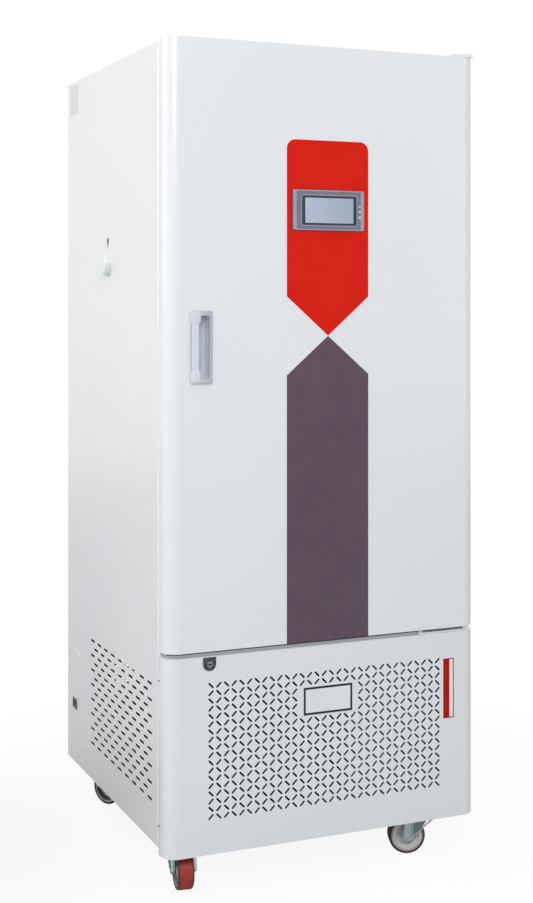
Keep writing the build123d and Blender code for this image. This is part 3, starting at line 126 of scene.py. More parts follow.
# %% [markdown]
# No real surface has one even tone. Paint, plastic and metal drift a little in colour and in gloss,
# and carry a fine relief. Three helpers add those to any shader, each from a noise pattern, because
# noise has no seams and works on every shape.

# %% Drift of colour, drift of gloss, and relief
def vary_colour(tree, shader, coordinates, low, high, scale, detail=3.0):
    """Lets the colour drift between two tones in soft patches."""
    noise = add_node(tree, "ShaderNodeTexNoise",
                     {"Vector": coordinates, "Scale": scale, "Detail": detail})
    ramp = add_node(tree, "ShaderNodeValToRGB", {"Fac": noise.outputs["Fac"]},
                    tones=((0.3, low), (0.7, high)))
    tree.links.new(ramp.outputs["Color"], shader.inputs["Base Color"])
    return noise


def vary_roughness(tree, shader, coordinates, low, high, scale):
    """Lets the gloss drift between two values in patches."""
    noise = add_node(tree, "ShaderNodeTexNoise",
                     {"Vector": coordinates, "Scale": scale, "Detail": 4.0})
    spread = add_node(tree, "ShaderNodeMapRange",
                      {"Value": noise.outputs["Fac"], "From Min": 0.3, "From Max": 0.7,
                       "To Min": low, "To Max": high})
    tree.links.new(spread.outputs["Result"], shader.inputs["Roughness"])


def add_relief(tree, shader, pattern, height, strength):
    """Roughens the surface by a pattern, with its height in metres."""
    bump = add_node(tree, "ShaderNodeBump",
                    {"Height": pattern, "Distance": height, "Strength": strength})
    tree.links.new(bump.outputs["Normal"], shader.inputs["Normal"])


print("helpers for uneven surfaces ready")


# %% [markdown]
# The cabinet is folded steel sheet with a baked powder coat. Powder melts into a film with a faint
# orange-peel waviness, a few millimetres from crest to crest and only microns high, so it softens
# reflections without looking rough. A noise texture at that pitch drives a very small bump.

# %% Powder-coated steel
PEEL_PITCH = 2.5 * MM
PEEL_HEIGHT = 0.012 * MM


def powder_coat(name, low, high, roughness):
    """Powder coat on sheet steel: satin, with orange peel and faint tonal drift."""
    material, tree, shader = new_material(name, high, roughness, IOR=1.5)
    place = object_coordinates(tree)
    vary_colour(tree, shader, place, low, high, 3.0)
    vary_roughness(tree, shader, place, roughness - 0.01, roughness + 0.01, 6.0)
    peel = add_node(tree, "ShaderNodeTexNoise",
                    {"Vector": place, "Scale": 1 / PEEL_PITCH, "Detail": 1.0})
    add_relief(tree, shader, peel.outputs["Fac"], PEEL_HEIGHT, 0.5)
    return material


door_paint = powder_coat("powder_coat_door_white", "#E9EBEE", "#EBEDF0", 0.18)
side_paint = powder_coat("powder_coat_side_white", "#EAE9EB", "#ECEBEC", 0.3)
inner_paint = powder_coat("powder_coat_grey", "#8C9094", "#969A9E", 0.5)
black_paint = powder_coat("enamel_black", "#16171A", "#1E1F22", 0.35)
print("powder coats ready, materials so far:", len(bpy.data.materials))


# %% [markdown]
# The chamber is lined with brushed stainless sheet. Brushing leaves fine parallel scratches along
# the sheet, which stretch highlights across the grain. Noise squeezed hard in one direction makes
# the scratches: a grain of about 0.4 mm is coarser than real, so that it shows at this size. Cast
# and drawn parts, such as the lock and the shelf wire, have the same metal noise without a grain.

# %% Brushed and plain metals
ALONG_Z = (1, 1, 60)
NO_GRAIN = (1, 1, 1)
FIN_GRAIN = (1, 1, 12)
SCRATCH_HEIGHT = 0.02 * MM


def brushed_metal(name, low, high, roughness, grain=ALONG_Z, grain_scale=40.0):
    """Bare metal with a grain along one axis, or an even one."""
    material, tree, shader = new_material(name, high, roughness, 1.0)
    place = object_coordinates(tree, grain)
    noise = vary_colour(tree, shader, place, low, high, grain_scale, 6.0)
    vary_roughness(tree, shader, place, roughness - 0.03, roughness + 0.04, grain_scale)
    add_relief(tree, shader, noise.outputs["Fac"], SCRATCH_HEIGHT, 0.15)
    return material


stainless = brushed_metal("stainless_brushed", "#BABDBF", "#C9CCCE", 0.28)
stainless_wire = brushed_metal("stainless_wire_polished", "#C4C6C8", "#DADCDD", 0.2, NO_GRAIN, 90)
lock_chrome = brushed_metal("lock_core_plated", "#7D8285", "#A4A8AA", 0.25, NO_GRAIN, 160)
lock_grey = brushed_metal("lock_die_cast_grey", "#3F4346", "#62676A", 0.36, NO_GRAIN, 160)
aluminium_fins = brushed_metal("aluminium_fin_stock", "#A2A5A8", "#BFC2C4", 0.35, FIN_GRAIN)
print("metals ready, materials so far:", len(bpy.data.materials))


# %% [markdown]
# Screws, caster plates and caster forks are zinc-plated steel. The plating grows in small crystals
# that catch the light one by one, as a faint mottle. A Voronoi pattern with cells of 2 mm, coarser
# than the real crystals so that they show, gives each cell its own tone.

# %% Zinc-plated steel
CRYSTAL_SIZE = 2.0 * MM
ZINC_TONES = ((0.0, "#B0BCBD"), (1.0, "#C6D0D0"))
ZINC_ROUGHNESS = 0.26


def zinc_plate(name):
    """Zinc-plated steel: bright, with a faint mottle."""
    material, tree, shader = new_material(name, ZINC_TONES[1][1], ZINC_ROUGHNESS, 1.0)
    place = object_coordinates(tree)
    crystals = add_node(tree, "ShaderNodeTexVoronoi",
                        {"Vector": place, "Scale": 1 / CRYSTAL_SIZE})
    ramp = add_node(tree, "ShaderNodeValToRGB", {"Fac": crystals.outputs["Color"]},
                    tones=ZINC_TONES)
    tree.links.new(ramp.outputs["Color"], shader.inputs["Base Color"])
    vary_roughness(tree, shader, place, ZINC_ROUGHNESS - 0.06, ZINC_ROUGHNESS + 0.08, 250.0)
    return material


zinc = zinc_plate("steel_zinc_plated")
print("crystals:", round(CRYSTAL_SIZE / MM, 1), "mm")


# %% [markdown]
# The handle, the bezel of the screen, the frame round the opening and the mains inlet are
# injection-moulded ABS. Spark-eroded mould walls leave a fine grain in it, which takes the hard edge
# off reflections. Noise with a pitch of 0.8 mm and a height of a hundredth of a millimetre makes it.

# %% Moulded plastics
def moulded_plastic(name, low, high, roughness, grain_pitch=0.8 * MM, grain_height=0.01 * MM,
                    ior=1.52):
    """Injection-moulded plastic with a fine texture from the mould."""
    material, tree, shader = new_material(name, high, roughness, IOR=ior)
    place = object_coordinates(tree)
    vary_colour(tree, shader, place, low, high, 25.0)
    vary_roughness(tree, shader, place, roughness - 0.05, roughness + 0.06, 60.0)
    grain = add_node(tree, "ShaderNodeTexNoise",
                     {"Vector": place, "Scale": 1 / grain_pitch, "Detail": 2.0})
    add_relief(tree, shader, grain.outputs["Fac"], grain_height, 0.6)
    return material


white_abs = moulded_plastic("abs_white", "#E4E6E7", "#E8EAEA", 0.4)
grip_lavender = moulded_plastic("abs_grip_pale", "#D8DBE6", "#DFE2EC", 0.2)
bezel_grey = moulded_plastic("abs_bezel_lavender_grey", "#6C6D7D", "#757687", 0.42)
bezel_rim = moulded_plastic("abs_bezel_rim", "#9799A9", "#A2A4B4", 0.38)
black_abs = moulded_plastic("abs_black", "#141518", "#1C1D20", 0.45)
inlet_grey = moulded_plastic("abs_inlet_grey", "#6E7275", "#7A7E81", 0.45)
print("mouldings ready, materials so far:", len(bpy.data.materials))

# %% [markdown]
# The two pointed panels on the door are satin vinyl film. It is smooth, but the adhesive under it
# leaves waves about 6 mm wide, so it is the same recipe as the plastics with a longer pitch. A low
# IOR keeps the white room from washing out its deep colours. Arrow, keys and label are thin ink
# films.

# %% Films and inks
ADHESIVE_WAVE = 6 * MM
WAVE_HEIGHT = 0.01 * MM
FILM_IOR = 1.24
red_film = moulded_plastic("vinyl_film_red", "#D91604", "#DF1C08", 0.4, ADHESIVE_WAVE,
                           WAVE_HEIGHT, FILM_IOR)
maroon_film = moulded_plastic("vinyl_film_maroon", "#5F4E5B", "#64535F", 0.4, ADHESIVE_WAVE,
                              WAVE_HEIGHT, FILM_IOR)
printed_grey = moulded_plastic("printed_arrow_grey", "#4A4C50", "#55575B", 0.4)
key_white = moulded_plastic("printed_key_white", "#CFD0D9", "#D9DAE2", 0.35)
label_blank = moulded_plastic("label_film_blank", "#D4D7D9", "#DCDFE1", 0.35)
print("films ready, materials so far:", len(bpy.data.materials))

# %% [markdown]
# Five more plastics are softer or cloudier: the magnetic seal of soft PVC, the sprayed polyurethane
# foam in the walls, which is coarse and dull, the polyethylene water tank, the silicone plug of the
# test port, which is glossy and slightly green, and the opal cover of the lamp.

# %% Seal, foam, tank, plug and lamp cover
seal_rubber = moulded_plastic("seal_soft_pvc", "#9EA1A4", "#A8ABAE", 0.5)
foam_yellow = moulded_plastic("polyurethane_foam", "#E9E3CE", "#F0EBDA", 0.9, 3 * MM, 0.4 * MM)
tank_pe = moulded_plastic("polyethylene_tank", "#D3D8D8", "#DCE0E0", 0.45)
port_clear = moulded_plastic("silicone_plug_mint", "#DAE2E0", "#E8EEEC", 0.14)
lamp_opal = moulded_plastic("opal_lamp_cover", "#ECECE6", "#F4F4EF", 0.3)
print("soft and cloudy plastics ready, materials so far:", len(bpy.data.materials))

# %% [markdown]
# The inner door is one pane of float glass, faintly green. Full transmission with a slightly uneven
# gloss gives the soft smears that a wiped pane has.

# %% Clear glass
glass_clear, glass_tree, glass_shader = new_material("float_glass", "#F2FAF7", 0.02, IOR=1.5)
glass_shader.inputs["Transmission Weight"].default_value = 1.0
vary_roughness(glass_tree, glass_shader, object_coordinates(glass_tree), 0.01, 0.04, 12.0)
print("glass ready:", glass_clear.name)


# %% [markdown]
# A printed border or a shaded step has no thickness of its own, so it is drawn in the material. A
# mask is a number that is 1 where the ink goes and 0 elsewhere. One helper marks the points between
# two limits, one marks a box from three such pairs, and one prints a colour where a mask is 1.

# %% Masks and printing
FAR = 10.0


def between(tree, value, low=-FAR, high=FAR):
    """A mask that is 1 where the value lies between two limits."""
    above = add_node(tree, "ShaderNodeMath", {0: value, 1: low}, operation="GREATER_THAN")
    below = add_node(tree, "ShaderNodeMath", {0: value, 1: high}, operation="LESS_THAN")
    return add_node(tree, "ShaderNodeMath", {0: above.outputs["Value"],
                                             1: below.outputs["Value"]},
                    operation="MULTIPLY").outputs["Value"]


def inside_box(material, low, high):
    """A mask that is 1 inside an upright box in the piece's own coordinates."""
    tree = material.node_tree
    split = add_node(tree, "ShaderNodeSeparateXYZ", {"Vector": object_coordinates(tree)})
    mask = 1.0
    for axis, start, end in zip("XYZ", low, high):
        mask = add_node(tree, "ShaderNodeMath",
                        {0: mask, 1: between(tree, split.outputs[axis], start, end)},
                        operation="MULTIPLY").outputs["Value"]
    return mask


def print_over(material, colour, mask):
    """Prints a hex colour, or the colour of a socket, over what the material has so far."""
    tree = material.node_tree
    target = tree.nodes["Principled BSDF"].inputs["Base Color"]
    ink = linear(colour) if isinstance(colour, str) else colour
    mixed = add_node(tree, "ShaderNodeMix", {0: mask, 6: target.links[0].from_socket, 7: ink},
                     data_type="RGBA")
    tree.links.new(mixed.outputs[2], target)


print("open sides of a mask reach", FAR, "m")


# %% [markdown]
# Two plates on the lower panel are printed films, left bare of words. The nameplate has a black
# border on white. The notice tag is red on its left side and white on its right, with a dark red
# border. A border is a large box without the smaller one inside it, and both are measured from the
# plate's own box in the frame.

# %% Nameplate and notice tag
def border(material, low, high, outer, inner):
    """A mask that is 1 between two distances from the sides of an upright plate."""
    large, small = [inside_box(material, (low.x + inset, -FAR, low.z + inset),
                               (high.x - inset, FAR, high.z - inset))
                    for inset in (outer, inner)]
    return add_node(material.node_tree, "ShaderNodeMath", {0: large, 1: small},
                    operation="SUBTRACT").outputs["Value"]


PLATE_LINE = (0.6 * MM, 5.0 * MM)
TAG_EDGE = 1.0 * MM
TAG_LINE_END = 3.2 * MM
TAG_RED_SHARE = 0.58
tag_low, tag_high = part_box("notice_tag")
block_end = tag_low.x + TAG_RED_SHARE * (tag_high.x - tag_low.x)
nameplate_print = moulded_plastic("label_film_white", "#E4E7EA", "#EBEDEF", 0.35)
print_over(nameplate_print, "#08090C",
           border(nameplate_print, *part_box("nameplate"), *PLATE_LINE))
notice_print = moulded_plastic("label_film_notice", "#EFE9E8", "#F4EFEE", 0.35, ior=FILM_IOR)
print_over(notice_print, "#8F1F19",
           border(notice_print, tag_low, tag_high, TAG_EDGE, TAG_LINE_END))
print_over(notice_print, "#AE120C",
           inside_box(notice_print, (tag_low.x + TAG_EDGE, -FAR, tag_low.z + TAG_EDGE),
                      (block_end, FAR, tag_high.z - TAG_EDGE)))
print("tag", round((tag_high.x - tag_low.x) / MM, 1), "mm wide")

# %% [markdown]
# The handle's housing is one grey moulding. Its colour is painted lighter towards its left, where
# the light comes from, as painted light, and its cup behind the door's face is painted paler still,
# as painted light where the small cup catches too little light. A slow ramp across its width and a
# step at the door's face paint those tones.

# %% Handle housing
housing_low, housing_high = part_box("handle_housing")
DOOR_FACE_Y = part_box("door_outer_panel")[0].y
CUP_START = 0.5 * MM
handle_grey, handle_tree, handle_shader = new_material("abs_handle_grey", "#B4BAC4", 0.34,
                                                       IOR=1.52)
handle_place = object_coordinates(handle_tree)
handle_split = add_node(handle_tree, "ShaderNodeSeparateXYZ", {"Vector": handle_place})
handle_painted_light_share = add_node(handle_tree, "ShaderNodeMapRange",
                        {"Value": handle_split.outputs["X"], "From Min": housing_low.x,
                         "From Max": housing_high.x})
# Painted light: the housing is lighter towards its left, where the light comes from.
handle_painted_light_ramp = add_node(handle_tree, "ShaderNodeValToRGB", {"Fac": handle_painted_light_share.outputs["Result"]},
                       tones=((0.0, "#D3D8DF"), (1.0, "#B2B8C1")))
handle_tree.links.new(handle_painted_light_ramp.outputs["Color"], handle_shader.inputs["Base Color"])
# Painted light: the cup is printed paler than the moulding, where it gets too little light.
print_over(handle_grey, "#DCE3EC", inside_box(handle_grey, (-FAR, DOOR_FACE_Y + CUP_START, -FAR),
                                              (FAR, FAR, FAR)))
vary_roughness(handle_tree, handle_shader, handle_place, 0.28, 0.4, 60.0)
print("handle", round((housing_high.x - housing_low.x) / MM, 1), "mm wide")

# %% [markdown]
# The lower front panel has a ledge under the door, where the light is cut off, and it is painted
# grey there as painted shade. Its grille and the vents low in the side panels are dark lines from
# outside, because the walls of the slots and the back of the sheet lie in shade, and they get
# painted shade too: boxes that start a quarter of a millimetre behind the painted face give those
# walls a dark tone and leave the face alone.

# %% Sheets with slots
FACE_SKIN = 0.25 * MM
LEDGE_DROP = 6.6 * MM
LEDGE_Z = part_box("lower_front_panel")[1].z - LEDGE_DROP
GRILLE_HALF_WIDTH = 262 * MM
GRILLE_BOTTOM = 130 * MM
GRILLE_TOP = 425 * MM
VENTS_FRONT = -270 * MM
VENTS_BACK = 230 * MM
VENTS_TOP = 440 * MM
SIDE_FACE_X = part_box("right_side_panel")[1].x
SLOT_SHADE = "#2E3134"
lower_paint = powder_coat("powder_coat_lower_panel", "#E7E9EB", "#E9EBED", 0.18)
# Painted shade: the ledge under the door is printed grey.
print_over(lower_paint, "#A3A9AC",
           inside_box(lower_paint, (-FAR, -FAR, LEDGE_Z), (FAR, FAR, FAR)))
# Painted shade on the walls of the grille's slots and the back of the sheet.
print_over(lower_paint, SLOT_SHADE,
           inside_box(lower_paint, (-GRILLE_HALF_WIDTH, DOOR_FACE_Y + FACE_SKIN, GRILLE_BOTTOM),
                      (GRILLE_HALF_WIDTH, FAR, GRILLE_TOP)))
vented_paint = powder_coat("powder_coat_vented_side", "#EAE9EB", "#ECEBEC", 0.3)
print_over(vented_paint, SLOT_SHADE,
           inside_box(vented_paint, (FACE_SKIN - SIDE_FACE_X, VENTS_FRONT, -FAR),
                      (SIDE_FACE_X - FACE_SKIN, VENTS_BACK, VENTS_TOP)))
print("ledge above", round(LEDGE_Z / MM, 1), "mm")

# %% [markdown]
# The screen is one sheet of glass. Behind it lies a dark printed mask, and inside the mask the
# unlit display, a pale blue-grey that gets a little lighter towards its left. One material does all
# three: a rectangle picks between the ink and the display, and a gloss of about 0.12 over both is
# the glass.

# %% Screen glass
glass_low, glass_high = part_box("hmi_screen")
display_low = glass_low + Vector((6.5, 0, 3.6)) * MM
display_high = glass_high - Vector((6.0, 0, 3.5)) * MM
display, display_tree, display_shader = new_material("cover_glass_over_display", "#AEBDCB", 0.12,
                                                     IOR=1.5)
display_place = object_coordinates(display_tree)
display_noise = add_node(display_tree, "ShaderNodeTexNoise",
                         {"Vector": display_place, "Scale": 30.0, "Detail": 2.0})
display_split = add_node(display_tree, "ShaderNodeSeparateXYZ", {"Vector": display_place})
display_slope = add_node(display_tree, "ShaderNodeMapRange",
                         {"Value": display_split.outputs["X"], "From Min": display_low.x,
                          "From Max": display_high.x, "To Min": 0.7, "To Max": 0.25})
display_mix = add_node(display_tree, "ShaderNodeMix",
                       {0: 0.25, 2: display_slope.outputs["Result"],
                        3: display_noise.outputs["Fac"]}, data_type="FLOAT")
display_ramp = add_node(display_tree, "ShaderNodeValToRGB", {"Fac": display_mix.outputs[0]},
                        tones=((0.25, "#9FAFBF"), (0.7, "#B8C3DA")))
display_tree.links.new(display_ramp.outputs["Color"], display_shader.inputs["Base Color"])
window = inside_box(display, (display_low.x, -FAR, display_low.z),
                    (display_high.x, FAR, display_high.z))
frame_mask = add_node(display_tree, "ShaderNodeMath", {0: 1.0, 1: window}, operation="SUBTRACT")
print_over(display, "#26283A", frame_mask.outputs["Value"])
vary_roughness(display_tree, display_shader, display_place, 0.08, 0.16, 40.0)
print("display", round((display_high.x - display_low.x) / MM, 1), "mm wide")

# %% [markdown]
# A caster wheel is a grey nylon hub with a polyurethane tread cast around it. The tread is red where
# it is fresh and dark maroon at its shoulders, partly from floor dirt and partly as painted shade.
# The distance from the wheel's axle tells hub from tread, and the distance along the axle finds the
# shoulders, so the colours turn with the wheel. Both come from the wheel's own joint in the frame.

# %% Distances from a wheel's axle
CORNERS = ("front_left", "front_right", "rear_left", "rear_right")
joint_by_child = {joint["child"]: joint for joint in frame["joints"]}


def axle_distances(tree, place, axle):
    """How far a point is from the axle's line, and how far along it from the wheel's middle."""
    offset = add_node(tree, "ShaderNodeVectorMath", {0: place, 1: axle["pos_m"]},
                      operation="SUBTRACT").outputs["Vector"]
    across = add_node(tree, "ShaderNodeVectorMath", {0: offset, 1: axle["axis"]},
                      operation="CROSS_PRODUCT").outputs["Vector"]
    radius = add_node(tree, "ShaderNodeVectorMath", {0: across}, operation="LENGTH")
    along = add_node(tree, "ShaderNodeVectorMath", {0: offset, 1: axle["axis"]},
                     operation="DOT_PRODUCT")
    along = add_node(tree, "ShaderNodeMath", {0: along.outputs["Value"]}, operation="ABSOLUTE")
    return radius.outputs["Value"], along.outputs["Value"]


print("axle height:", round(joint_by_child["caster_front_left_roller"]["pos_m"][2] / MM, 1), "mm")

# %% [markdown]
# Each wheel has its own place where the tread turns dark and its own tone for the ring that is
# moulded into the hub's side. The dark tread is dirt and painted shade together. The ring is painted
# darker at the front left and darkest at the rear left, as painted shade, and the rear left wheel
# stands in shade under the cabinet, so nearly all its tread is painted dark. Noise breaks up the
# border of the dark tread, which would look drawn if it were a clean line.

# %% Caster wheel finish
HUB_RADIUS = 32.5 * MM
TREAD_OVERLAP = 0.05 * MM
RING_RADII = (21.0 * MM, 28.5 * MM)
DIRT_AND_SHADE_SPREAD = 5.5 * MM
DIRT_AND_SHADE_WANDER = 6.0 * MM
# Painted shade: the hub's ring is darker at the front left and darkest at the rear left.
ring_tones_with_painted_shade = {"front_left": "#77757A", "front_right": "#DCD9DA", "rear_left": "#4A4848",
                "rear_right": "#DCD9DA"}
# How far the dark shoulders reach at each corner, dirt and painted shade together; at the rear left
# nearly the whole tread is painted shade.
dirt_and_shade_starts = {"front_left": 12.0 * MM, "front_right": 2.0 * MM, "rear_left": 1.0 * MM,
             "rear_right": 8.0 * MM}


def wheel_finish(corner):
    """Nylon hub and polyurethane tread, told apart by the distance from this wheel's axle."""
    material, tree, shader = new_material("nylon_hub_and_cast_tread_" + corner, "#A93A36", 0.4)
    place = object_coordinates(tree)
    noise = add_node(tree, "ShaderNodeTexNoise", {"Vector": place, "Scale": 120.0, "Detail": 5.0})
    radius, along = axle_distances(tree, place, joint_by_child["caster_" + corner + "_roller"])
    worn_and_shaded = add_node(tree, "ShaderNodeMath", {0: noise.outputs["Fac"], 1: DIRT_AND_SHADE_WANDER, 2: along},
                    operation="MULTIPLY_ADD")
    dirt_and_shade = add_node(tree, "ShaderNodeMapRange",
                    {"Value": worn_and_shaded.outputs["Value"], "From Min": dirt_and_shade_starts[corner],
                     "From Max": dirt_and_shade_starts[corner] + DIRT_AND_SHADE_SPREAD})
    # The maroon of the shoulders is dirt and painted shade together.
    tread = add_node(tree, "ShaderNodeMix", {0: dirt_and_shade.outputs["Result"], 6: linear("#A52E28"),
                                             7: linear("#4A2A2D")}, data_type="RGBA")
    hub = add_node(tree, "ShaderNodeValToRGB", {"Fac": noise.outputs["Fac"]},
                   tones=((0.3, "#9A9698"), (0.65, "#C4C0C1")))
    tree.links.new(hub.outputs["Color"], shader.inputs["Base Color"])
    print_over(material, ring_tones_with_painted_shade[corner], between(tree, radius, *RING_RADII))
    print_over(material, tread.outputs[2], between(tree, radius, HUB_RADIUS - TREAD_OVERLAP))
    vary_roughness(tree, shader, place, 0.3, 0.5, 90.0)
    add_relief(tree, shader, noise.outputs["Fac"], 0.05 * MM, 0.5)
    return material


wheel_finishes = {corner: wheel_finish(corner) for corner in CORNERS}
print("wheel finishes:", len(wheel_finishes))

# %% [markdown]
# A caster fork leans back from its swivel to the axle. The thin web between leg and swivel stands in
# the shade of the legs, so it is painted darker than the legs, as painted shade. The direction from
# swivel to axle comes from the two joints, so one rule fits forks that point four ways.

# %% Caster fork finish
WEB_START = 12.0 * MM
CROWN_RISE = 36.0 * MM


def fork_finish(corner):
    """Zinc plate with painted shade on the web between the leg and the swivel."""
    wheel = Vector(joint_by_child["caster_" + corner + "_roller"]["pos_m"])
    trail = wheel - Vector(joint_by_child["caster_" + corner]["pos_m"])
    trail.z = 0
    material = zinc_plate("steel_zinc_plated_fork_" + corner)
    tree = material.node_tree
    offset = add_node(tree, "ShaderNodeVectorMath", {0: object_coordinates(tree), 1: wheel},
                      operation="SUBTRACT").outputs["Vector"]
    ahead = add_node(tree, "ShaderNodeVectorMath", {0: offset, 1: trail.normalized()},
                     operation="DOT_PRODUCT")
    split = add_node(tree, "ShaderNodeSeparateXYZ", {"Vector": offset})
    web_painted_shade = add_node(tree, "ShaderNodeMath",
                   {0: between(tree, ahead.outputs["Value"], high=-WEB_START),
                    1: between(tree, split.outputs["Z"], high=CROWN_RISE)}, operation="MULTIPLY")
    # Painted shade on the web.
    print_over(material, "#7B8788", web_painted_shade.outputs["Value"])
    return material


fork_finishes = {corner: fork_finish(corner) for corner in CORNERS}
print("fork finishes:", len(fork_finishes))

# %% [markdown]
# The construction model's own solids stay wherever their shape is already right, and only change
# their material. The table goes node by node, so that it also says what each one is made of.

# %% Finishes of the carried-over solids
finishes = {
    vented_paint: ("left_side_panel", "right_side_panel"),
    side_paint: ("top_panel", "rear_panel", "service_cover"),
    lower_paint: ("lower_front_panel",),
    door_paint: ("door_outer_panel", "top_hinge_bracket",
                 "bottom_hinge_bracket", "machine_deck"),
    inner_paint: ("base_tray", "control_box", "circulation_motor"),
    black_paint: ("compressor",),
    white_abs: ("front_frame", "door_inner_panel", "drain_spigot", "test_port_sleeve"),
    stainless: ("inner_liner", "air_duct_plate", "shelf_uprights", "shelf_clips",
                "heater_element", "glass_door_fittings"),
    stainless_wire: ("wire_shelves", "sensor_probe"),
    zinc: ("panel_screws", "caster_plates"),
    aluminium_fins: ("evaporator", "circulation_fan"),
    black_abs: ("condenser", "condenser_motor", "condenser_fan"),
    foam_yellow: ("cabinet_foam", "door_foam"),
    seal_rubber: ("door_gasket",),
    handle_grey: ("handle_housing",),
    grip_lavender: ("handle_grip",),
    red_film: ("red_panel",),
    maroon_film: ("maroon_panel",),
    bezel_grey: ("hmi_unit",),
    display: ("hmi_screen",),
    glass_clear: ("glass_pane",),
    lock_grey: ("lock_plate",),
    lock_chrome: ("lock_cylinder",),
    tank_pe: ("water_tank",),
    port_clear: ("test_port_plug",),
    lamp_opal: ("interior_lamp",),
    nameplate_print: ("nameplate",),
    notice_print: ("notice_tag",),
    inlet_grey: ("power_inlet",),
}
for corner in CORNERS:
    finishes[wheel_finishes[corner]] = ("caster_wheel_" + corner,)
    finishes[fork_finishes[corner]] = ("caster_fork_" + corner,)
dressed = 0
for material, names in finishes.items():
    for name in names:
        node_mesh = frame["nodes"][name].data
        node_mesh.materials.clear()
        node_mesh.materials.append(material)
        dressed += 1
print("solids given a finish:", dressed)


# %% [markdown]
# New pieces are built as a bmesh, which is Blender's editable mesh, and then wrapped as an object
# that rides on one of the chamber's bodies. Four helpers wrap a mesh as a piece, finish a bmesh,
# pour one bmesh into another, and set quads between two loops of points.

# %% From a bmesh to a piece
def mesh_piece(name, mesh, body, material, smooth=True):
    """Wraps a mesh as a piece that rides on a body and wears a material."""
    if smooth:
        for polygon in mesh.polygons:
            polygon.use_smooth = True
    mesh.materials.append(material)
    piece = bpy.data.objects.new(name, mesh)
    scene.collection.objects.link(piece)
    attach(piece, body)
    return piece


def finish_bmesh(name, work):
    """Turns a bmesh into mesh data with its faces turned outward."""
    bmesh.ops.recalc_face_normals(work, faces=work.faces)
    mesh = bpy.data.meshes.new(name)
    work.to_mesh(mesh)
    work.free()
    return mesh


def pour_into(work, extra):
    """Moves the geometry of one bmesh into another."""
    spare = bpy.data.meshes.new("spare")
    extra.to_mesh(spare)
    extra.free()
    work.from_mesh(spare)
    bpy.data.meshes.remove(spare)


def bridge(work, first, second):
    """Quads between two loops with as many points each."""
    for index in range(len(first)):
        after = (index + 1) % len(first)
        work.faces.new((first[index], first[after], second[after], second[index]))


print("bmesh helpers ready")


# %% [markdown]
# Small parts need a maker's shape, not plain boxes: every edge of a moulding is eased so that it
# leaves the mould and catches a thin line of light. One helper makes a block with all its edges
# rounded, one lists the points of a rounded rectangle, and one makes a thin film between two
# outlines.

# %% Blocks, outlines and films
def rounded_block(low, high, radius, segments=4):
    """A block between two corners with every edge rounded, as a bmesh."""
    work = bmesh.new()
    size = Vector(high) - Vector(low)
    middle = (Vector(high) + Vector(low)) / 2
    bmesh.ops.create_cube(work, size=1.0, matrix=Matrix.Translation(middle)
                          @ Matrix.Diagonal((*size, 1)))
    bmesh.ops.bevel(work, geom=work.edges[:], offset=radius, segments=segments,
                    profile=0.5, affect="EDGES")
    return work


def rounded_outline(centre, half_x, half_z, radius, steps=6):
    """Points (x, z) round a rectangle with rounded corners, counter-clockwise."""
    points = []
    for corner, (sx, sz) in enumerate(((1, 1), (-1, 1), (-1, -1), (1, -1))):
        for step in range(steps + 1):
            angle = math.radians(90 * corner + 90 * step / steps)
            points.append((centre[0] + sx * (half_x - radius) + radius * math.cos(angle),
                           centre[1] + sz * (half_z - radius) + radius * math.sin(angle)))
    return points


def add_film(work, front_points, back_points):
    """A thin closed plate between two outlines with as many points each."""
    front = [work.verts.new(point) for point in front_points]
    back = [work.verts.new(point) for point in back_points]
    work.faces.new(front)
    work.faces.new(back)
    bridge(work, front, back)


print("points round a rectangle:", len(rounded_outline((0, 0), 2, 1, 0.1)))


# %% [markdown]
# Two more shapes come up: the flat trim between two rounded rectangles, and the turned part. A trim
# is six loops, with its two front edges eased. A turned part is a profile that is carried round an
# axis, and where the profile meets the axis its ring shrinks to one point.

# %% Rings and turned parts
def flat_ring(centre, outer, inner, outer_radius, inner_radius, front_y, back_y, ease):
    """A ring on the door's face between two rounded rectangles, its front edges eased."""
    work = bmesh.new()
    loops = []
    for half, radius, y in (
            (outer, outer_radius, back_y),
            (outer, outer_radius, front_y + ease),
            ((outer[0] - ease, outer[1] - ease), outer_radius - ease, front_y),
            ((inner[0] + ease, inner[1] + ease), inner_radius + ease, front_y),
            (inner, inner_radius, front_y + ease),
            (inner, inner_radius, back_y)):
        points = rounded_outline(centre, half[0], half[1], max(radius, 0.1 * MM))
        loops.append([work.verts.new((x, y, z)) for x, z in points])
    for first, second in zip(loops, loops[1:] + loops[:1]):
        bridge(work, first, second)
    return work


def lathe(profile, origin, axis, steps=48):
    """A closed body of revolution from (radius, distance along axis) pairs."""
    axis = Vector(axis).normalized()
    side = axis.orthogonal().normalized()
    up = axis.cross(side)
    work = bmesh.new()
    rings = []
    for radius, along in profile:
        centre = Vector(origin) + axis * along
        if radius <= 0:
            rings.append([work.verts.new(centre)])
            continue
        rings.append([work.verts.new(centre + radius * (math.cos(turn) * side
                                                        + math.sin(turn) * up))
                      for turn in (2 * math.pi * step / steps for step in range(steps))])
    for first, second in zip(rings, rings[1:]):
        for index in range(steps):
            after = (index + 1) % steps
            corners = [first[index % len(first)], first[after % len(first)],
                       second[after % len(second)], second[index % len(second)]]
            unique = list(dict.fromkeys(corners))
            if len(unique) > 2:
                work.faces.new(unique)
    return work


print("shape helpers ready")

# %% [markdown]
# The handle is a moulded housing let into the door, with an upright grip bar between two caps. The
# construction model has the housing and its cup, and its grip is a plain bar. The real bar is soft
# and slightly crowned, so it is lofted from superellipse sections: rounded squares whose corners
# are set by two exponents.

# %% Grip bar
grip_low, grip_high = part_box("handle_grip")
BAR_SECTIONS = 28
BAR_POINTS = 32
SQUARENESS_X, SQUARENESS_Y = 0.36, 0.6
END_NARROWING = 0.045
SWELL_POWER = 0.5
CROWN_HEIGHT = 0.25 * MM


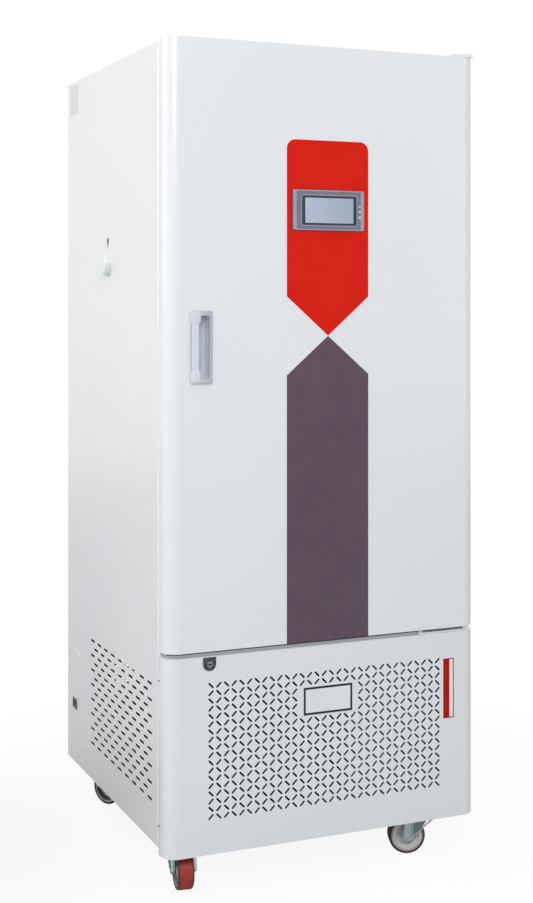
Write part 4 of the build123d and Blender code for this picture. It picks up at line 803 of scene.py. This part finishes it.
def grip_bar():
    """The bar between the caps: superellipse sections with a gentle swell in the middle."""
    work = bmesh.new()
    centre = (grip_low + grip_high) / 2
    half = (grip_high - grip_low) / 2
    rings = []
    for section in range(BAR_SECTIONS + 1):
        share = section / BAR_SECTIONS
        swell = math.sin(math.pi * share) ** SWELL_POWER
        half_x = half.x * (1 - END_NARROWING + END_NARROWING * swell)
        half_y = half.y + CROWN_HEIGHT * swell
        ring = []
        for step in range(BAR_POINTS):
            turn = 2 * math.pi * step / BAR_POINTS
            cos, sin = math.cos(turn), math.sin(turn)
            x = centre.x + half_x * math.copysign(abs(cos) ** SQUARENESS_X, cos)
            y = centre.y + half_y * math.copysign(abs(sin) ** SQUARENESS_Y, sin)
            ring.append(work.verts.new((x, y, grip_low.z + share * (grip_high.z - grip_low.z))))
        rings.append(ring)
    for first, second in zip(rings, rings[1:]):
        bridge(work, first, second)
    work.faces.new(rings[0])
    work.faces.new(rings[-1])
    return work


bar = mesh_piece("handle_grip_bar", finish_bmesh("handle_grip_bar", grip_bar()),
                 "outer_door", grip_lavender)
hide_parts("handle_grip")
print("grip bar", round((grip_high.z - grip_low.z) / MM), "mm long")

# %% [markdown]
# A cap closes each end of the bar and stands a little proud of the housing. It is a rounded block
# whose front slopes down towards the bar, so the thumb meets no step. The slope is made by moving
# the block's front points, the further the nearer they are to the bar.

# %% Handle caps
CAP_PROUD = 1.2 * MM
CAP_SIDE_INSET = 1.5 * MM
CAP_END_INSET = 3 * MM
CAP_DEPTH = 3 * MM
CAP_ROUND = 1.4 * MM
CAP_SLOPE = 1.1 * MM
CAP_FRONT_BAND = 1 * MM
SLOPE_LEAD = 0.1


def grip_cap(end):
    """A cap over one end of the bar: end is -1 for the lower one and +1 for the upper one."""
    outer_z = (housing_high if end > 0 else housing_low).z - end * CAP_END_INSET
    inner_z = (grip_high if end > 0 else grip_low).z - end * CAP_END_INSET
    low = (housing_low.x + CAP_SIDE_INSET, housing_low.y - CAP_PROUD, min(outer_z, inner_z))
    high = (grip_high.x + CAP_SIDE_INSET, housing_low.y + CAP_DEPTH, max(outer_z, inner_z))
    work = rounded_block(low, high, CAP_ROUND)
    middle = (low[2] + high[2]) / 2
    for vertex in work.verts:
        toward_bar = (middle - vertex.co.z) * end / (high[2] - low[2])
        if vertex.co.y < housing_low.y + CAP_FRONT_BAND:
            vertex.co.y += CAP_SLOPE * max(0.0, toward_bar + SLOPE_LEAD)
    return work


for cap_end, cap_name in ((-1, "handle_cap_lower"), (1, "handle_cap_upper")):
    mesh_piece(cap_name, finish_bmesh(cap_name, grip_cap(cap_end)), "outer_door", grip_lavender)
print("caps stand", round(CAP_PROUD / MM, 1), "mm proud of the housing")

# %% [markdown]
# The touch screen sits in a lavender-grey bezel. A lighter trim runs round the bezel, wide at the
# left and right and thin along the top and bottom, and a fine raised line goes round the glass. Each
# is a separate thin ring, so its edge catches light.

# %% Screen trims
bezel_low, bezel_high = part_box("hmi_unit")
bezel_centre = (0.0, (bezel_low.z + bezel_high.z) / 2)
bezel_half = (bezel_high.x, (bezel_high.z - bezel_low.z) / 2)
screen_centre = ((glass_low.x + glass_high.x) / 2, (glass_low.z + glass_high.z) / 2)
screen_half = ((glass_high.x - glass_low.x) / 2, (glass_high.z - glass_low.z) / 2)
TRIM_PROUD = 0.35 * MM
TRIM_ROOT = 0.4 * MM
TRIM_EASE = 0.2 * MM
RIM_OUTER_INSET = 0.6 * MM
RIM_SIDE_INSET = 8.0 * MM
RIM_END_INSET = 2.8 * MM
LINE_OUTER_GAP = 3.2 * MM
LINE_INNER_GAP = 1.6 * MM


def door_trim(name, centre, outer, inner, outer_radius, inner_radius):
    """A thin ring on the bezel's face."""
    ring = flat_ring(centre, outer, inner, outer_radius, inner_radius,
                     bezel_low.y - TRIM_PROUD, bezel_low.y + TRIM_ROOT, TRIM_EASE)
    mesh_piece(name, finish_bmesh(name, ring), "outer_door", bezel_rim, smooth=False)


door_trim("screen_rim_trim", bezel_centre,
          (bezel_half[0] - RIM_OUTER_INSET, bezel_half[1] - RIM_OUTER_INSET),
          (bezel_half[0] - RIM_SIDE_INSET, bezel_half[1] - RIM_END_INSET), 3.0 * MM, 1.0 * MM)
door_trim("screen_raised_line", screen_centre,
          (screen_half[0] + LINE_OUTER_GAP, screen_half[1] + LINE_OUTER_GAP),
          (screen_half[0] + LINE_INNER_GAP, screen_half[1] + LINE_INNER_GAP), 6.0 * MM, 4.6 * MM)
print("bezel", round(2 * bezel_half[0] / MM), "by", round(2 * bezel_half[1] / MM), "mm")

# %% [markdown]
# Three small printed keys stand in a column at the right of the glass, each a little taller than
# the one above it. They are thin films with rounded corners, proud by a sixth of a millimetre.

# %% Screen keys
KEY_X = 67.9 * MM
KEY_LEVELS = (1324.7 * MM, 1314.4 * MM, 1302.8 * MM)
KEY_HALF_WIDTH = 2.2 * MM
KEY_HALF_HEIGHT = 1.5 * MM
KEY_GROWTH = 0.5 * MM
KEY_ROUND = 1.0 * MM
KEY_PROUD = 0.15 * MM
KEY_ROOT = 0.2 * MM
keys = bmesh.new()
for number, level in enumerate(KEY_LEVELS):
    points = rounded_outline((KEY_X, level), KEY_HALF_WIDTH,
                             KEY_HALF_HEIGHT + KEY_GROWTH * number, KEY_ROUND)
    add_film(keys, [(x, bezel_low.y - KEY_PROUD, z) for x, z in points],
             [(x, bezel_low.y + KEY_ROOT, z) for x, z in points])
mesh_piece("screen_keys", finish_bmesh("screen_keys", keys), "outer_door", key_white,
           smooth=False)
print("keys:", len(KEY_LEVELS))

# %% [markdown]
# A small printed arrow above the test port points down at it, and near the top of the rear edge
# there is a bare label. Both are films a tenth of a millimetre thick on the left side panel, set in
# by half that so that they lie on the paint.

# %% Side marks
side_low, side_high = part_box("left_side_panel")
sleeve_low, sleeve_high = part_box("test_port_sleeve")
port_y = (sleeve_low.y + sleeve_high.y) / 2
FILM_PROUD = 0.12 * MM
FILM_ROOT = 0.05 * MM
ARROW_TIP = 1246 * MM
ARROW_HEIGHT = 26 * MM
ARROW_HALF = 10 * MM
ARROW_NOTCH = 0.8 * ARROW_HEIGHT
LABEL_HALF = 34 * MM
LABEL_ROUND = 4 * MM
LABEL_FROM_BACK = 52 * MM
LABEL_LEVEL = 1594 * MM


def side_film(name, points, material):
    """A film on the left side panel from (y, z) points."""
    work = bmesh.new()
    add_film(work, [(side_low.x - FILM_PROUD, y, z) for y, z in points],
             [(side_low.x + FILM_ROOT, y, z) for y, z in points])
    mesh_piece(name, finish_bmesh(name, work), "cabinet", material, smooth=False)


side_film("port_arrow", ((port_y, ARROW_TIP), (port_y - ARROW_HALF, ARROW_TIP + ARROW_HEIGHT),
                         (port_y, ARROW_TIP + ARROW_NOTCH),
                         (port_y + ARROW_HALF, ARROW_TIP + ARROW_HEIGHT)), printed_grey)
side_film("side_blank_label", rounded_outline((side_high.y - LABEL_FROM_BACK, LABEL_LEVEL),
                                              LABEL_HALF, LABEL_HALF, LABEL_ROUND), label_blank)
print("arrow tip", round(ARROW_TIP / MM), "mm up")

# %% [markdown]
# A caster fork is pressed from one sheet. Each leg has a flange turned outward along its two edges,
# which stiffens it, and a rib that rises straight from the axle. They show as bright lines. The
# construction model has flat legs, so flanges and ribs are added as rounded strips, each built
# lying along Z and then turned to run from one point to another.

# %% Strip between two points
def strip_between(work, start, end, out, thickness, reach):
    """A rounded strip from start to end that stands out along a direction."""
    run = (end - start).normalized()
    across = run.cross(out).normalized()
    block = rounded_block((-thickness / 2, 0, 0), (thickness / 2, reach, (end - start).length),
                          0.45 * thickness, 2)
    turn = Matrix((across, out, run)).transposed().to_4x4()
    bmesh.ops.transform(block, matrix=Matrix.Translation(start) @ turn, verts=block.verts)
    pour_into(work, block)


print("strip helper ready")

# %% [markdown]
# Each leg gets a front and a back flange, from the foot round the axle up to the crown, one upright
# rib and a washer under the axle's head. Swivel and axle are read from the joints, so the same
# function builds all four forks, whichever way they trail.

# %% Caster fork flanges
FORK_OUTER = 21.0 * MM
CROWN_HALF = 29.0 * MM
CROWN_Z = 75.0 * MM
FOOT_RADIUS = 11.0 * MM
FLANGE_REACH = 5.0 * MM
FLANGE_THICKNESS = 2.2 * MM
FLANGE_INSET = 1.5 * MM
FLANGE_ROOT = 0.4 * MM
RIB_THICKNESS = 2.4 * MM
RIB_INSET = 1.2 * MM
RIB_BELOW_CROWN = 1.0 * MM
WASHER_ROOT = 0.1 * MM
WASHER_PROFILE = ((0, 0), (8.5 * MM, 0), (8.5 * MM, 0.9 * MM), (8.1 * MM, 1.3 * MM),
                  (0, 1.3 * MM))


def fork_flanges(corner):
    """Flanges, ribs and washers of one fork."""
    roll = joint_by_child["caster_" + corner + "_roller"]
    wheel = Vector(roll["pos_m"])
    pivot = Vector((*joint_by_child["caster_" + corner]["pos_m"][:2], 0))
    forward = Vector((wheel.x - pivot.x, wheel.y - pivot.y, 0)).normalized()
    work = bmesh.new()
    for side in (-1, 1):
        out = Vector(roll["axis"]).normalized() * side
        base = out * (FORK_OUTER - FLANGE_ROOT)
        for edge in (-1, 1):
            top = pivot + forward * edge * (CROWN_HALF - FLANGE_INSET) + Vector((0, 0, CROWN_Z))
            foot = wheel + forward * edge * (FOOT_RADIUS - FLANGE_INSET)
            strip_between(work, foot + base, top + base, out, FLANGE_THICKNESS, FLANGE_REACH)
        rib_foot = wheel - forward * (FOOT_RADIUS - RIB_INSET)
        rib_top = Vector((rib_foot.x, rib_foot.y, CROWN_Z - RIB_BELOW_CROWN))
        strip_between(work, rib_foot + base, rib_top + base, out, RIB_THICKNESS, FLANGE_REACH)
        pour_into(work, lathe(WASHER_PROFILE, wheel + out * (FORK_OUTER - WASHER_ROOT), out, 32))
    return work


for corner in CORNERS:
    flange_name = "caster_flanges_" + corner
    mesh_piece(flange_name, finish_bmesh(flange_name, fork_flanges(corner)),
               "caster_" + corner, zinc, smooth=False)
print("forks with flanges:", len(CORNERS))


# %% [markdown]
# Shelf wires and screws are both one thing repeated along a straight row, so they share one kind of
# Geometry Nodes tree: a line of points, one instance on each point, all turned the same way. Its
# inputs are the count, the first place, the step and the turn, and each tree adds its own sizes. It
# ends by making the instances real, because the export drops instances, and by setting the
# material.

# %% A row of instances with Geometry Nodes
def start_row_tree(name, extra_sockets):
    """A node group that makes a row of points. Returns the tree, its inputs and the points."""
    tree = bpy.data.node_groups.new(name, "GeometryNodeTree")
    for label, kind, default in (("Count", "NodeSocketInt", 2),
                                 ("First", "NodeSocketVector", (0, 0, 0)),
                                 ("Step", "NodeSocketVector", (0, 0, 0.1)),
                                 ("Turn", "NodeSocketVector", (0, 0, 0))) + extra_sockets:
        socket = tree.interface.new_socket(label, in_out="INPUT", socket_type=kind)
        socket.default_value = default
    tree.interface.new_socket("Geometry", in_out="OUTPUT", socket_type="NodeSocketGeometry")
    given = tree.nodes.new("NodeGroupInput").outputs
    line = add_node(tree, "GeometryNodeMeshLine", {"Count": given["Count"],
                                                   "Start Location": given["First"],
                                                   "Offset": given["Step"]})
    return tree, given, line.outputs["Mesh"]


def end_row_tree(tree, placing, material):
    """Places the instances, makes them real and gives them their material."""
    placed = add_node(tree, "GeometryNodeInstanceOnPoints", placing)
    real = add_node(tree, "GeometryNodeRealizeInstances", {"Geometry": placed.outputs[0]})
    painted = add_node(tree, "GeometryNodeSetMaterial", {"Geometry": real.outputs[0],
                                                         "Material": material})
    tree.links.new(painted.outputs[0], tree.nodes.new("NodeGroupOutput").inputs[0])


print("row trees ready")


# %% [markdown]
# A tree is run by a modifier on an empty carrier object. The modifier's inputs are set by each
# socket's identifier before the first evaluation, the evaluated result is copied to a plain mesh,
# and the carrier goes. One function does that for several rows and joins them in one mesh.

# %% Rows turned into one plain mesh
def rows_mesh(name, tree, rows):
    """Runs a tree once for each row of inputs and joins the results in one mesh."""
    work = bmesh.new()
    for values in rows:
        carrier = bpy.data.objects.new(name, bpy.data.meshes.new(name + "_carrier"))
        scene.collection.objects.link(carrier)
        modifier = carrier.modifiers.new(name, "NODES")
        modifier.node_group = tree
        for item in tree.interface.items_tree:
            if item.item_type == "SOCKET" and item.in_out == "INPUT" and item.name in values:
                modifier[item.identifier] = values[item.name]
        bpy.context.view_layer.update()
        evaluated = carrier.evaluated_get(bpy.context.evaluated_depsgraph_get())
        row_mesh = bpy.data.meshes.new_from_object(evaluated)
        carrier.modifiers.clear()
        bpy.data.objects.remove(carrier)
        work.from_mesh(row_mesh)
        bpy.data.meshes.remove(row_mesh)
    joined = bpy.data.meshes.new(name)
    work.to_mesh(joined)
    work.free()
    return joined


print("rows become plain meshes")

# %% [markdown]
# The three shelves are welded round wire: a rod every 22 mm from front to back, a thicker frame
# round them, and two cross wires underneath. The tree puts a cylinder of 14 sides on each point.
# More sides would not show on a wire 4 mm thick.

# %% Tree for the shelf rods
def rod_tree():
    """A row of round rods."""
    tree, given, points = start_row_tree("rod_row", (("Radius", "NodeSocketFloat", 0.002),
                                                     ("Length", "NodeSocketFloat", 0.4)))
    rod = add_node(tree, "GeometryNodeMeshCylinder", {"Vertices": 14, "Radius": given["Radius"],
                                                      "Depth": given["Length"]})
    end_row_tree(tree, {"Points": points, "Instance": rod.outputs["Mesh"],
                        "Rotation": given["Turn"]}, stainless_wire)
    return tree


shelf_rod_tree = rod_tree()
print("inputs:", [item.name for item in shelf_rod_tree.interface.items_tree][:6])

# %% [markdown]
# The rows are worked out from the box of the shelves in the frame, so the dressed wires take the
# place of the plain ones exactly. Rods along Y are cylinders turned about X, and rods along X are
# turned about Y.

# %% Wire shelves
shelf_low, shelf_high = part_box("wire_shelves")
SHELF_LEVELS = (702 * MM, 962 * MM, 1222 * MM)
WIRE_RADIUS = 2.0 * MM
FRAME_RADIUS = 2.9 * MM
WIRE_PITCH = 22.0 * MM
LIE_ALONG_Y = (math.pi / 2, 0, 0)
LIE_ALONG_X = (0, math.pi / 2, 0)
shelf_depth = shelf_high.y - shelf_low.y
shelf_width = shelf_high.x - shelf_low.x
shelf_middle_y = (shelf_high.y + shelf_low.y) / 2
wire_count = int(shelf_width // WIRE_PITCH)
rod_length_y = shelf_depth - 2 * FRAME_RADIUS
rod_length_x = shelf_width - FRAME_RADIUS
rod_rows = []
for level in SHELF_LEVELS:
    first_wire = (-(wire_count - 1) / 2 * WIRE_PITCH, shelf_middle_y, level)
    first_cross = (0, shelf_middle_y - shelf_depth / 6, level - WIRE_RADIUS)
    for count, first, step, turn, radius, length in (
            (wire_count, first_wire, (WIRE_PITCH, 0, 0), LIE_ALONG_Y, WIRE_RADIUS, rod_length_y),
            (2, (shelf_low.x + FRAME_RADIUS, shelf_middle_y, level),
             (shelf_width - 2 * FRAME_RADIUS, 0, 0), LIE_ALONG_Y, FRAME_RADIUS, rod_length_y),
            (2, (0, shelf_low.y + FRAME_RADIUS, level),
             (0, rod_length_y, 0), LIE_ALONG_X, FRAME_RADIUS, rod_length_x),
            (2, first_cross, (0, shelf_depth / 3, 0), LIE_ALONG_X, WIRE_RADIUS, rod_length_x)):
        rod_rows.append({"Count": count, "First": first, "Step": step, "Turn": turn,
                         "Radius": radius, "Length": length})
shelf_mesh = rows_mesh("shelf_rods", shelf_rod_tree, rod_rows)
shelf_mesh.materials.clear()
shelves = mesh_piece("shelf_rods", shelf_mesh, "cabinet", stainless_wire)
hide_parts("wire_shelves")
print("wires per shelf:", wire_count, "faces:", len(shelf_mesh.polygons))


# %% [markdown]
# Pan-head screws hold the lower panel and the rear panel. The head is a low dome of four rings with
# a sunk cross: the innermost ring moves in and out with the angle, far on the four arms and near
# between them, and a smaller copy of it lies deeper as the floor of the recess.

# %% One screw head
HEAD_STEPS = 32
HEAD_RADIUS = 3.4 * MM
HEAD_HEIGHT = 1.8 * MM
RECESS_FLOOR = 0.7 * MM
FLOOR_SHARE = 0.8
ARM_REACH, GAP_REACH = 0.38, 0.12
ARM_LIMIT = 0.7
head_profile = ((1.0, 0.0), (0.98, 0.55), (0.8, 0.9), (0.42, 1.0))


def screw_head():
    """A pan head along +Z with a cross recess, as an object for the tree to place."""
    work = bmesh.new()
    turns = [2 * math.pi * step / HEAD_STEPS for step in range(HEAD_STEPS)]
    rings = []
    for share, height in head_profile:
        rings.append([work.verts.new((HEAD_RADIUS * share * math.cos(turn),
                                      HEAD_RADIUS * share * math.sin(turn),
                                      height * HEAD_HEIGHT)) for turn in turns])
    cross = []
    for turn in turns:
        on_arm = abs(math.cos(2 * turn)) > ARM_LIMIT
        reach = HEAD_RADIUS * (ARM_REACH if on_arm else GAP_REACH)
        cross.append(work.verts.new((reach * math.cos(turn), reach * math.sin(turn),
                                     HEAD_HEIGHT)))
    floor_ring = [work.verts.new((vertex.co.x * FLOOR_SHARE, vertex.co.y * FLOOR_SHARE,
                                  RECESS_FLOOR)) for vertex in cross]
    for first, second in zip(rings + [cross], rings[1:] + [cross, floor_ring]):
        bridge(work, first, second)
    work.faces.new(floor_ring)
    work.faces.new(rings[0])
    return bpy.data.objects.new("screw_head_source", finish_bmesh("screw_head", work))


head_source = screw_head()
print("faces of a screw head:", len(head_source.data.polygons))

# %% [markdown]
# The screw tree takes that head as its instance. Two rows of two hold the lower panel's tabs, one
# on each side, and two rows of six run down the edges of the rear panel. The head points along its
# own +Z, so one turn for each row makes it face the way that the sheet faces.

# %% Screws
def screw_tree(head):
    """A row of screw heads."""
    tree, given, points = start_row_tree("screw_row", (("Size", "NodeSocketFloat", 1.0),))
    source = add_node(tree, "GeometryNodeObjectInfo", {"Object": head})
    end_row_tree(tree, {"Points": points, "Instance": source.outputs["Geometry"],
                        "Rotation": given["Turn"], "Scale": given["Size"]}, zinc)
    return tree


rear_low, rear_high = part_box("rear_panel")
screws_low, screws_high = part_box("panel_screws")
tab_screw_y = (screws_low.y + screws_high.y) / 2
TAB_LEVELS = (135 * MM, 412 * MM)
REAR_SIDE_INSET = 14 * MM
REAR_END_INSET = 30 * MM
REAR_SCREWS = 6
rear_step = (rear_high.z - rear_low.z - 2 * REAR_END_INSET) / (REAR_SCREWS - 1)
screw_rows = []
for face_x, turn in ((side_low.x, (0, -math.pi / 2, 0)), (-side_low.x, (0, math.pi / 2, 0))):
    screw_rows.append({"Count": len(TAB_LEVELS), "First": (face_x, tab_screw_y, TAB_LEVELS[0]),
                       "Step": (0, 0, TAB_LEVELS[1] - TAB_LEVELS[0]), "Turn": turn})
for edge_x in (rear_low.x + REAR_SIDE_INSET, rear_high.x - REAR_SIDE_INSET):
    screw_rows.append({"Count": REAR_SCREWS,
                       "First": (edge_x, rear_high.y, rear_low.z + REAR_END_INSET),
                       "Step": (0, 0, rear_step), "Turn": (-math.pi / 2, 0, 0)})
screw_mesh = rows_mesh("screw_heads", screw_tree(head_source), screw_rows)
screw_mesh.materials.clear()
bpy.data.objects.remove(head_source)
screws = mesh_piece("screw_heads", screw_mesh, "cabinet", zinc, smooth=False)
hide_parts("panel_screws")
print("screws:", sum(row["Count"] for row in screw_rows))

# %% [markdown]
# The camera stands 1.13 m high, above the middle of the cabinet, and to the left of the door. It is
# level, so upright edges stay upright, and its frame is shifted down to take in the casters, as a
# photographer does with a shift lens.

# %% Camera
IMAGE_HEIGHT_PX = 903
FOCAL_PX = 1474.0
HORIZON_PX = 302.0
CAMERA_PLACE = (-1.266, -2.971, 1.1347)
CAMERA_TURN = 23.3
camera_data = bpy.data.cameras.new("studio_camera")
camera_data.sensor_width = 36.0
camera_data.lens = FOCAL_PX / IMAGE_HEIGHT_PX * camera_data.sensor_width
camera_data.shift_y = -(IMAGE_HEIGHT_PX / 2 - HORIZON_PX) / IMAGE_HEIGHT_PX
camera = bpy.data.objects.new("studio_camera", camera_data)
camera.location = CAMERA_PLACE
camera.rotation_euler = (math.radians(90), 0, math.radians(-CAMERA_TURN))
scene.collection.objects.link(camera)
scene.camera = camera
print("lens", round(camera_data.lens, 2), "mm, shift", round(camera_data.shift_y, 4))


# %% [markdown]
# The studio is white all round. Lighting a floor and a wall until they are white would also wash
# out the cabinet, so they glow white only for the rays that the camera sends, or gloss and glass
# send on, and stay ordinary surfaces for the light that falls on them.

# %% White for the camera
def white_for_camera(tree, other_shader, white_strength, share, gloss_share):
    """Mixes a white glow over a shader for rays that the camera, gloss or glass sends."""
    path = add_node(tree, "ShaderNodeLightPath")
    gloss = add_node(tree, "ShaderNodeMath", {0: path.outputs["Is Glossy Ray"],
                                              1: gloss_share}, operation="MULTIPLY")
    seen = add_node(tree, "ShaderNodeMath", {0: path.outputs["Is Camera Ray"],
                                             1: gloss.outputs["Value"]},
                    operation="MAXIMUM")
    seen = add_node(tree, "ShaderNodeMath", {0: seen.outputs["Value"],
                                             1: path.outputs["Is Transmission Ray"]},
                    operation="MAXIMUM")
    amount = add_node(tree, "ShaderNodeMath", {0: seen.outputs["Value"], 1: share},
                      operation="MULTIPLY")
    glow = add_node(tree, "ShaderNodeEmission", {"Color": (1, 1, 1, 1),
                                                 "Strength": white_strength})
    return add_node(tree, "ShaderNodeMixShader",
                    {"Fac": amount.outputs["Value"], 1: other_shader, 2: glow.outputs["Emission"]})


print("backdrop helper ready")

# %% [markdown]
# The floor is matt paper. Near the cabinet a small share of the real paper shows through the glow,
# which gives the soft contact shadow, and further out the glow is full, so no horizon shows. The
# paper is painted darker beside the left of the cabinet, as painted shade on the floor there, so
# that less light comes back up onto that side.

# %% Floor
FLOOR_HALF = 6.0
FLOOR_SHADE_CENTRE = (-0.75, 0.15, 0.0)
FLOOR_SHADE_REACH = (0.2, 0.75)
GLOW_STRENGTH = 1.04
SHADOW_REACH = (0.7, 1.8)
GLOW_SHARES = (0.88, 1.0)
floor_material = bpy.data.materials.new("studio_floor")
floor_material.use_nodes = True
floor_tree = floor_material.node_tree
floor_tree.nodes.clear()
floor_place = object_coordinates(floor_tree)
# Painted shade on the floor beside the cabinet's left.
floor_shade_offset = add_node(floor_tree, "ShaderNodeVectorMath", {0: floor_place, 1: FLOOR_SHADE_CENTRE},
                       operation="DISTANCE")
floor_shade_share = add_node(floor_tree, "ShaderNodeMapRange",
                      {"Value": floor_shade_offset.outputs["Value"], "From Min": FLOOR_SHADE_REACH[0],
                       "From Max": FLOOR_SHADE_REACH[1]}, interpolation_type="SMOOTHSTEP")
paper_shade_ramp = add_node(floor_tree, "ShaderNodeValToRGB", {"Fac": floor_shade_share.outputs["Result"]},
                      tones=((0.0, "#4C5653"), (1.0, "#D2D5D6")))
paper = add_node(floor_tree, "ShaderNodeBsdfDiffuse", {"Color": paper_shade_ramp.outputs["Color"]})
reach = add_node(floor_tree, "ShaderNodeVectorMath", {0: floor_place}, operation="LENGTH")
glow_share = add_node(floor_tree, "ShaderNodeMapRange",
                      {"Value": reach.outputs["Value"], "From Min": SHADOW_REACH[0],
                       "From Max": SHADOW_REACH[1], "To Min": GLOW_SHARES[0],
                       "To Max": GLOW_SHARES[1]}, interpolation_type="SMOOTHSTEP")
floor_mix = white_for_camera(floor_tree, paper.outputs["BSDF"], GLOW_STRENGTH,
                             glow_share.outputs["Result"], 0.0)
add_node(floor_tree, "ShaderNodeOutputMaterial", {"Surface": floor_mix.outputs["Shader"]})
floor_mesh = bpy.data.meshes.new("studio_floor")
floor_mesh.from_pydata([(-FLOOR_HALF, -FLOOR_HALF, 0), (FLOOR_HALF, -FLOOR_HALF, 0),
                        (FLOOR_HALF, FLOOR_HALF, 0), (-FLOOR_HALF, FLOOR_HALF, 0)], [],
                       [(0, 1, 2, 3)])
floor_mesh.materials.append(floor_material)
floor = bpy.data.objects.new("studio_floor", floor_mesh)
scene.collection.objects.link(floor)
print("floor", 2 * FLOOR_HALF, "m wide")

# %% [markdown]
# The world is the rest of the white room: pure white for the camera and for reflections, and a
# weaker, slightly cool white for the light that it sheds, which fills the shadows without
# flattening the cabinet.

# %% World
WORLD_STRENGTH = 0.64
world = bpy.data.worlds.new("studio_world")
scene.world = world
world.use_nodes = True
world_tree = world.node_tree
world_tree.nodes.clear()
sky = add_node(world_tree, "ShaderNodeBackground", {"Color": linear("#F4F5F8"),
                                                    "Strength": WORLD_STRENGTH})
world_mix = white_for_camera(world_tree, sky.outputs["Background"], 1.0, 1.0, 1.0)
add_node(world_tree, "ShaderNodeOutputWorld", {"Surface": world_mix.outputs["Shader"]})
print("world strength", WORLD_STRENGTH)


# %% [markdown]
# Four softboxes light the cabinet. The key stands at the camera's left and makes the front the
# brightest face at its top, one at the side keeps the left side nearly as bright as the front, a
# weak fill on the right lifts the far edge, and a faint one above lights the top.

# %% Lights
def area_light(name, place, target, size, power, colour="#FFFFFF"):
    """A soft rectangular light that faces a point."""
    data = bpy.data.lights.new(name, "AREA")
    data.shape = "RECTANGLE"
    data.size, data.size_y = size
    data.energy = power
    data.color = linear(colour)[:3]
    light = bpy.data.objects.new(name, data)
    light.location = place
    aim = Vector(target) - Vector(place)
    light.rotation_euler = aim.to_track_quat("-Z", "Y").to_euler()
    scene.collection.objects.link(light)


area_light("key_softbox", (-1.6, -3.2, 2.6), (0, 0, 0.9), (1.6, 1.6), 47, "#FFFDFA")
area_light("side_softbox", (-3.2, 0.3, 2.1), (-0.3, 0, 0.9), (1.8, 2.0), 31.5)
area_light("fill_softbox", (2.6, -3.0, 1.6), (0.2, 0, 0.8), (1.4, 2.0), 8, "#F6F9FF")
area_light("top_softbox", (0.2, -0.6, 3.6), (0, 0, 1.5), (2.0, 1.2), 4)

# %% [markdown]
# The standard view transform shows each colour as it was written, which matters for white paint: a
# filmic curve would turn it grey.

# %% Colour management
scene.view_settings.view_transform = "Standard"
print("view transform:", scene.view_settings.view_transform)
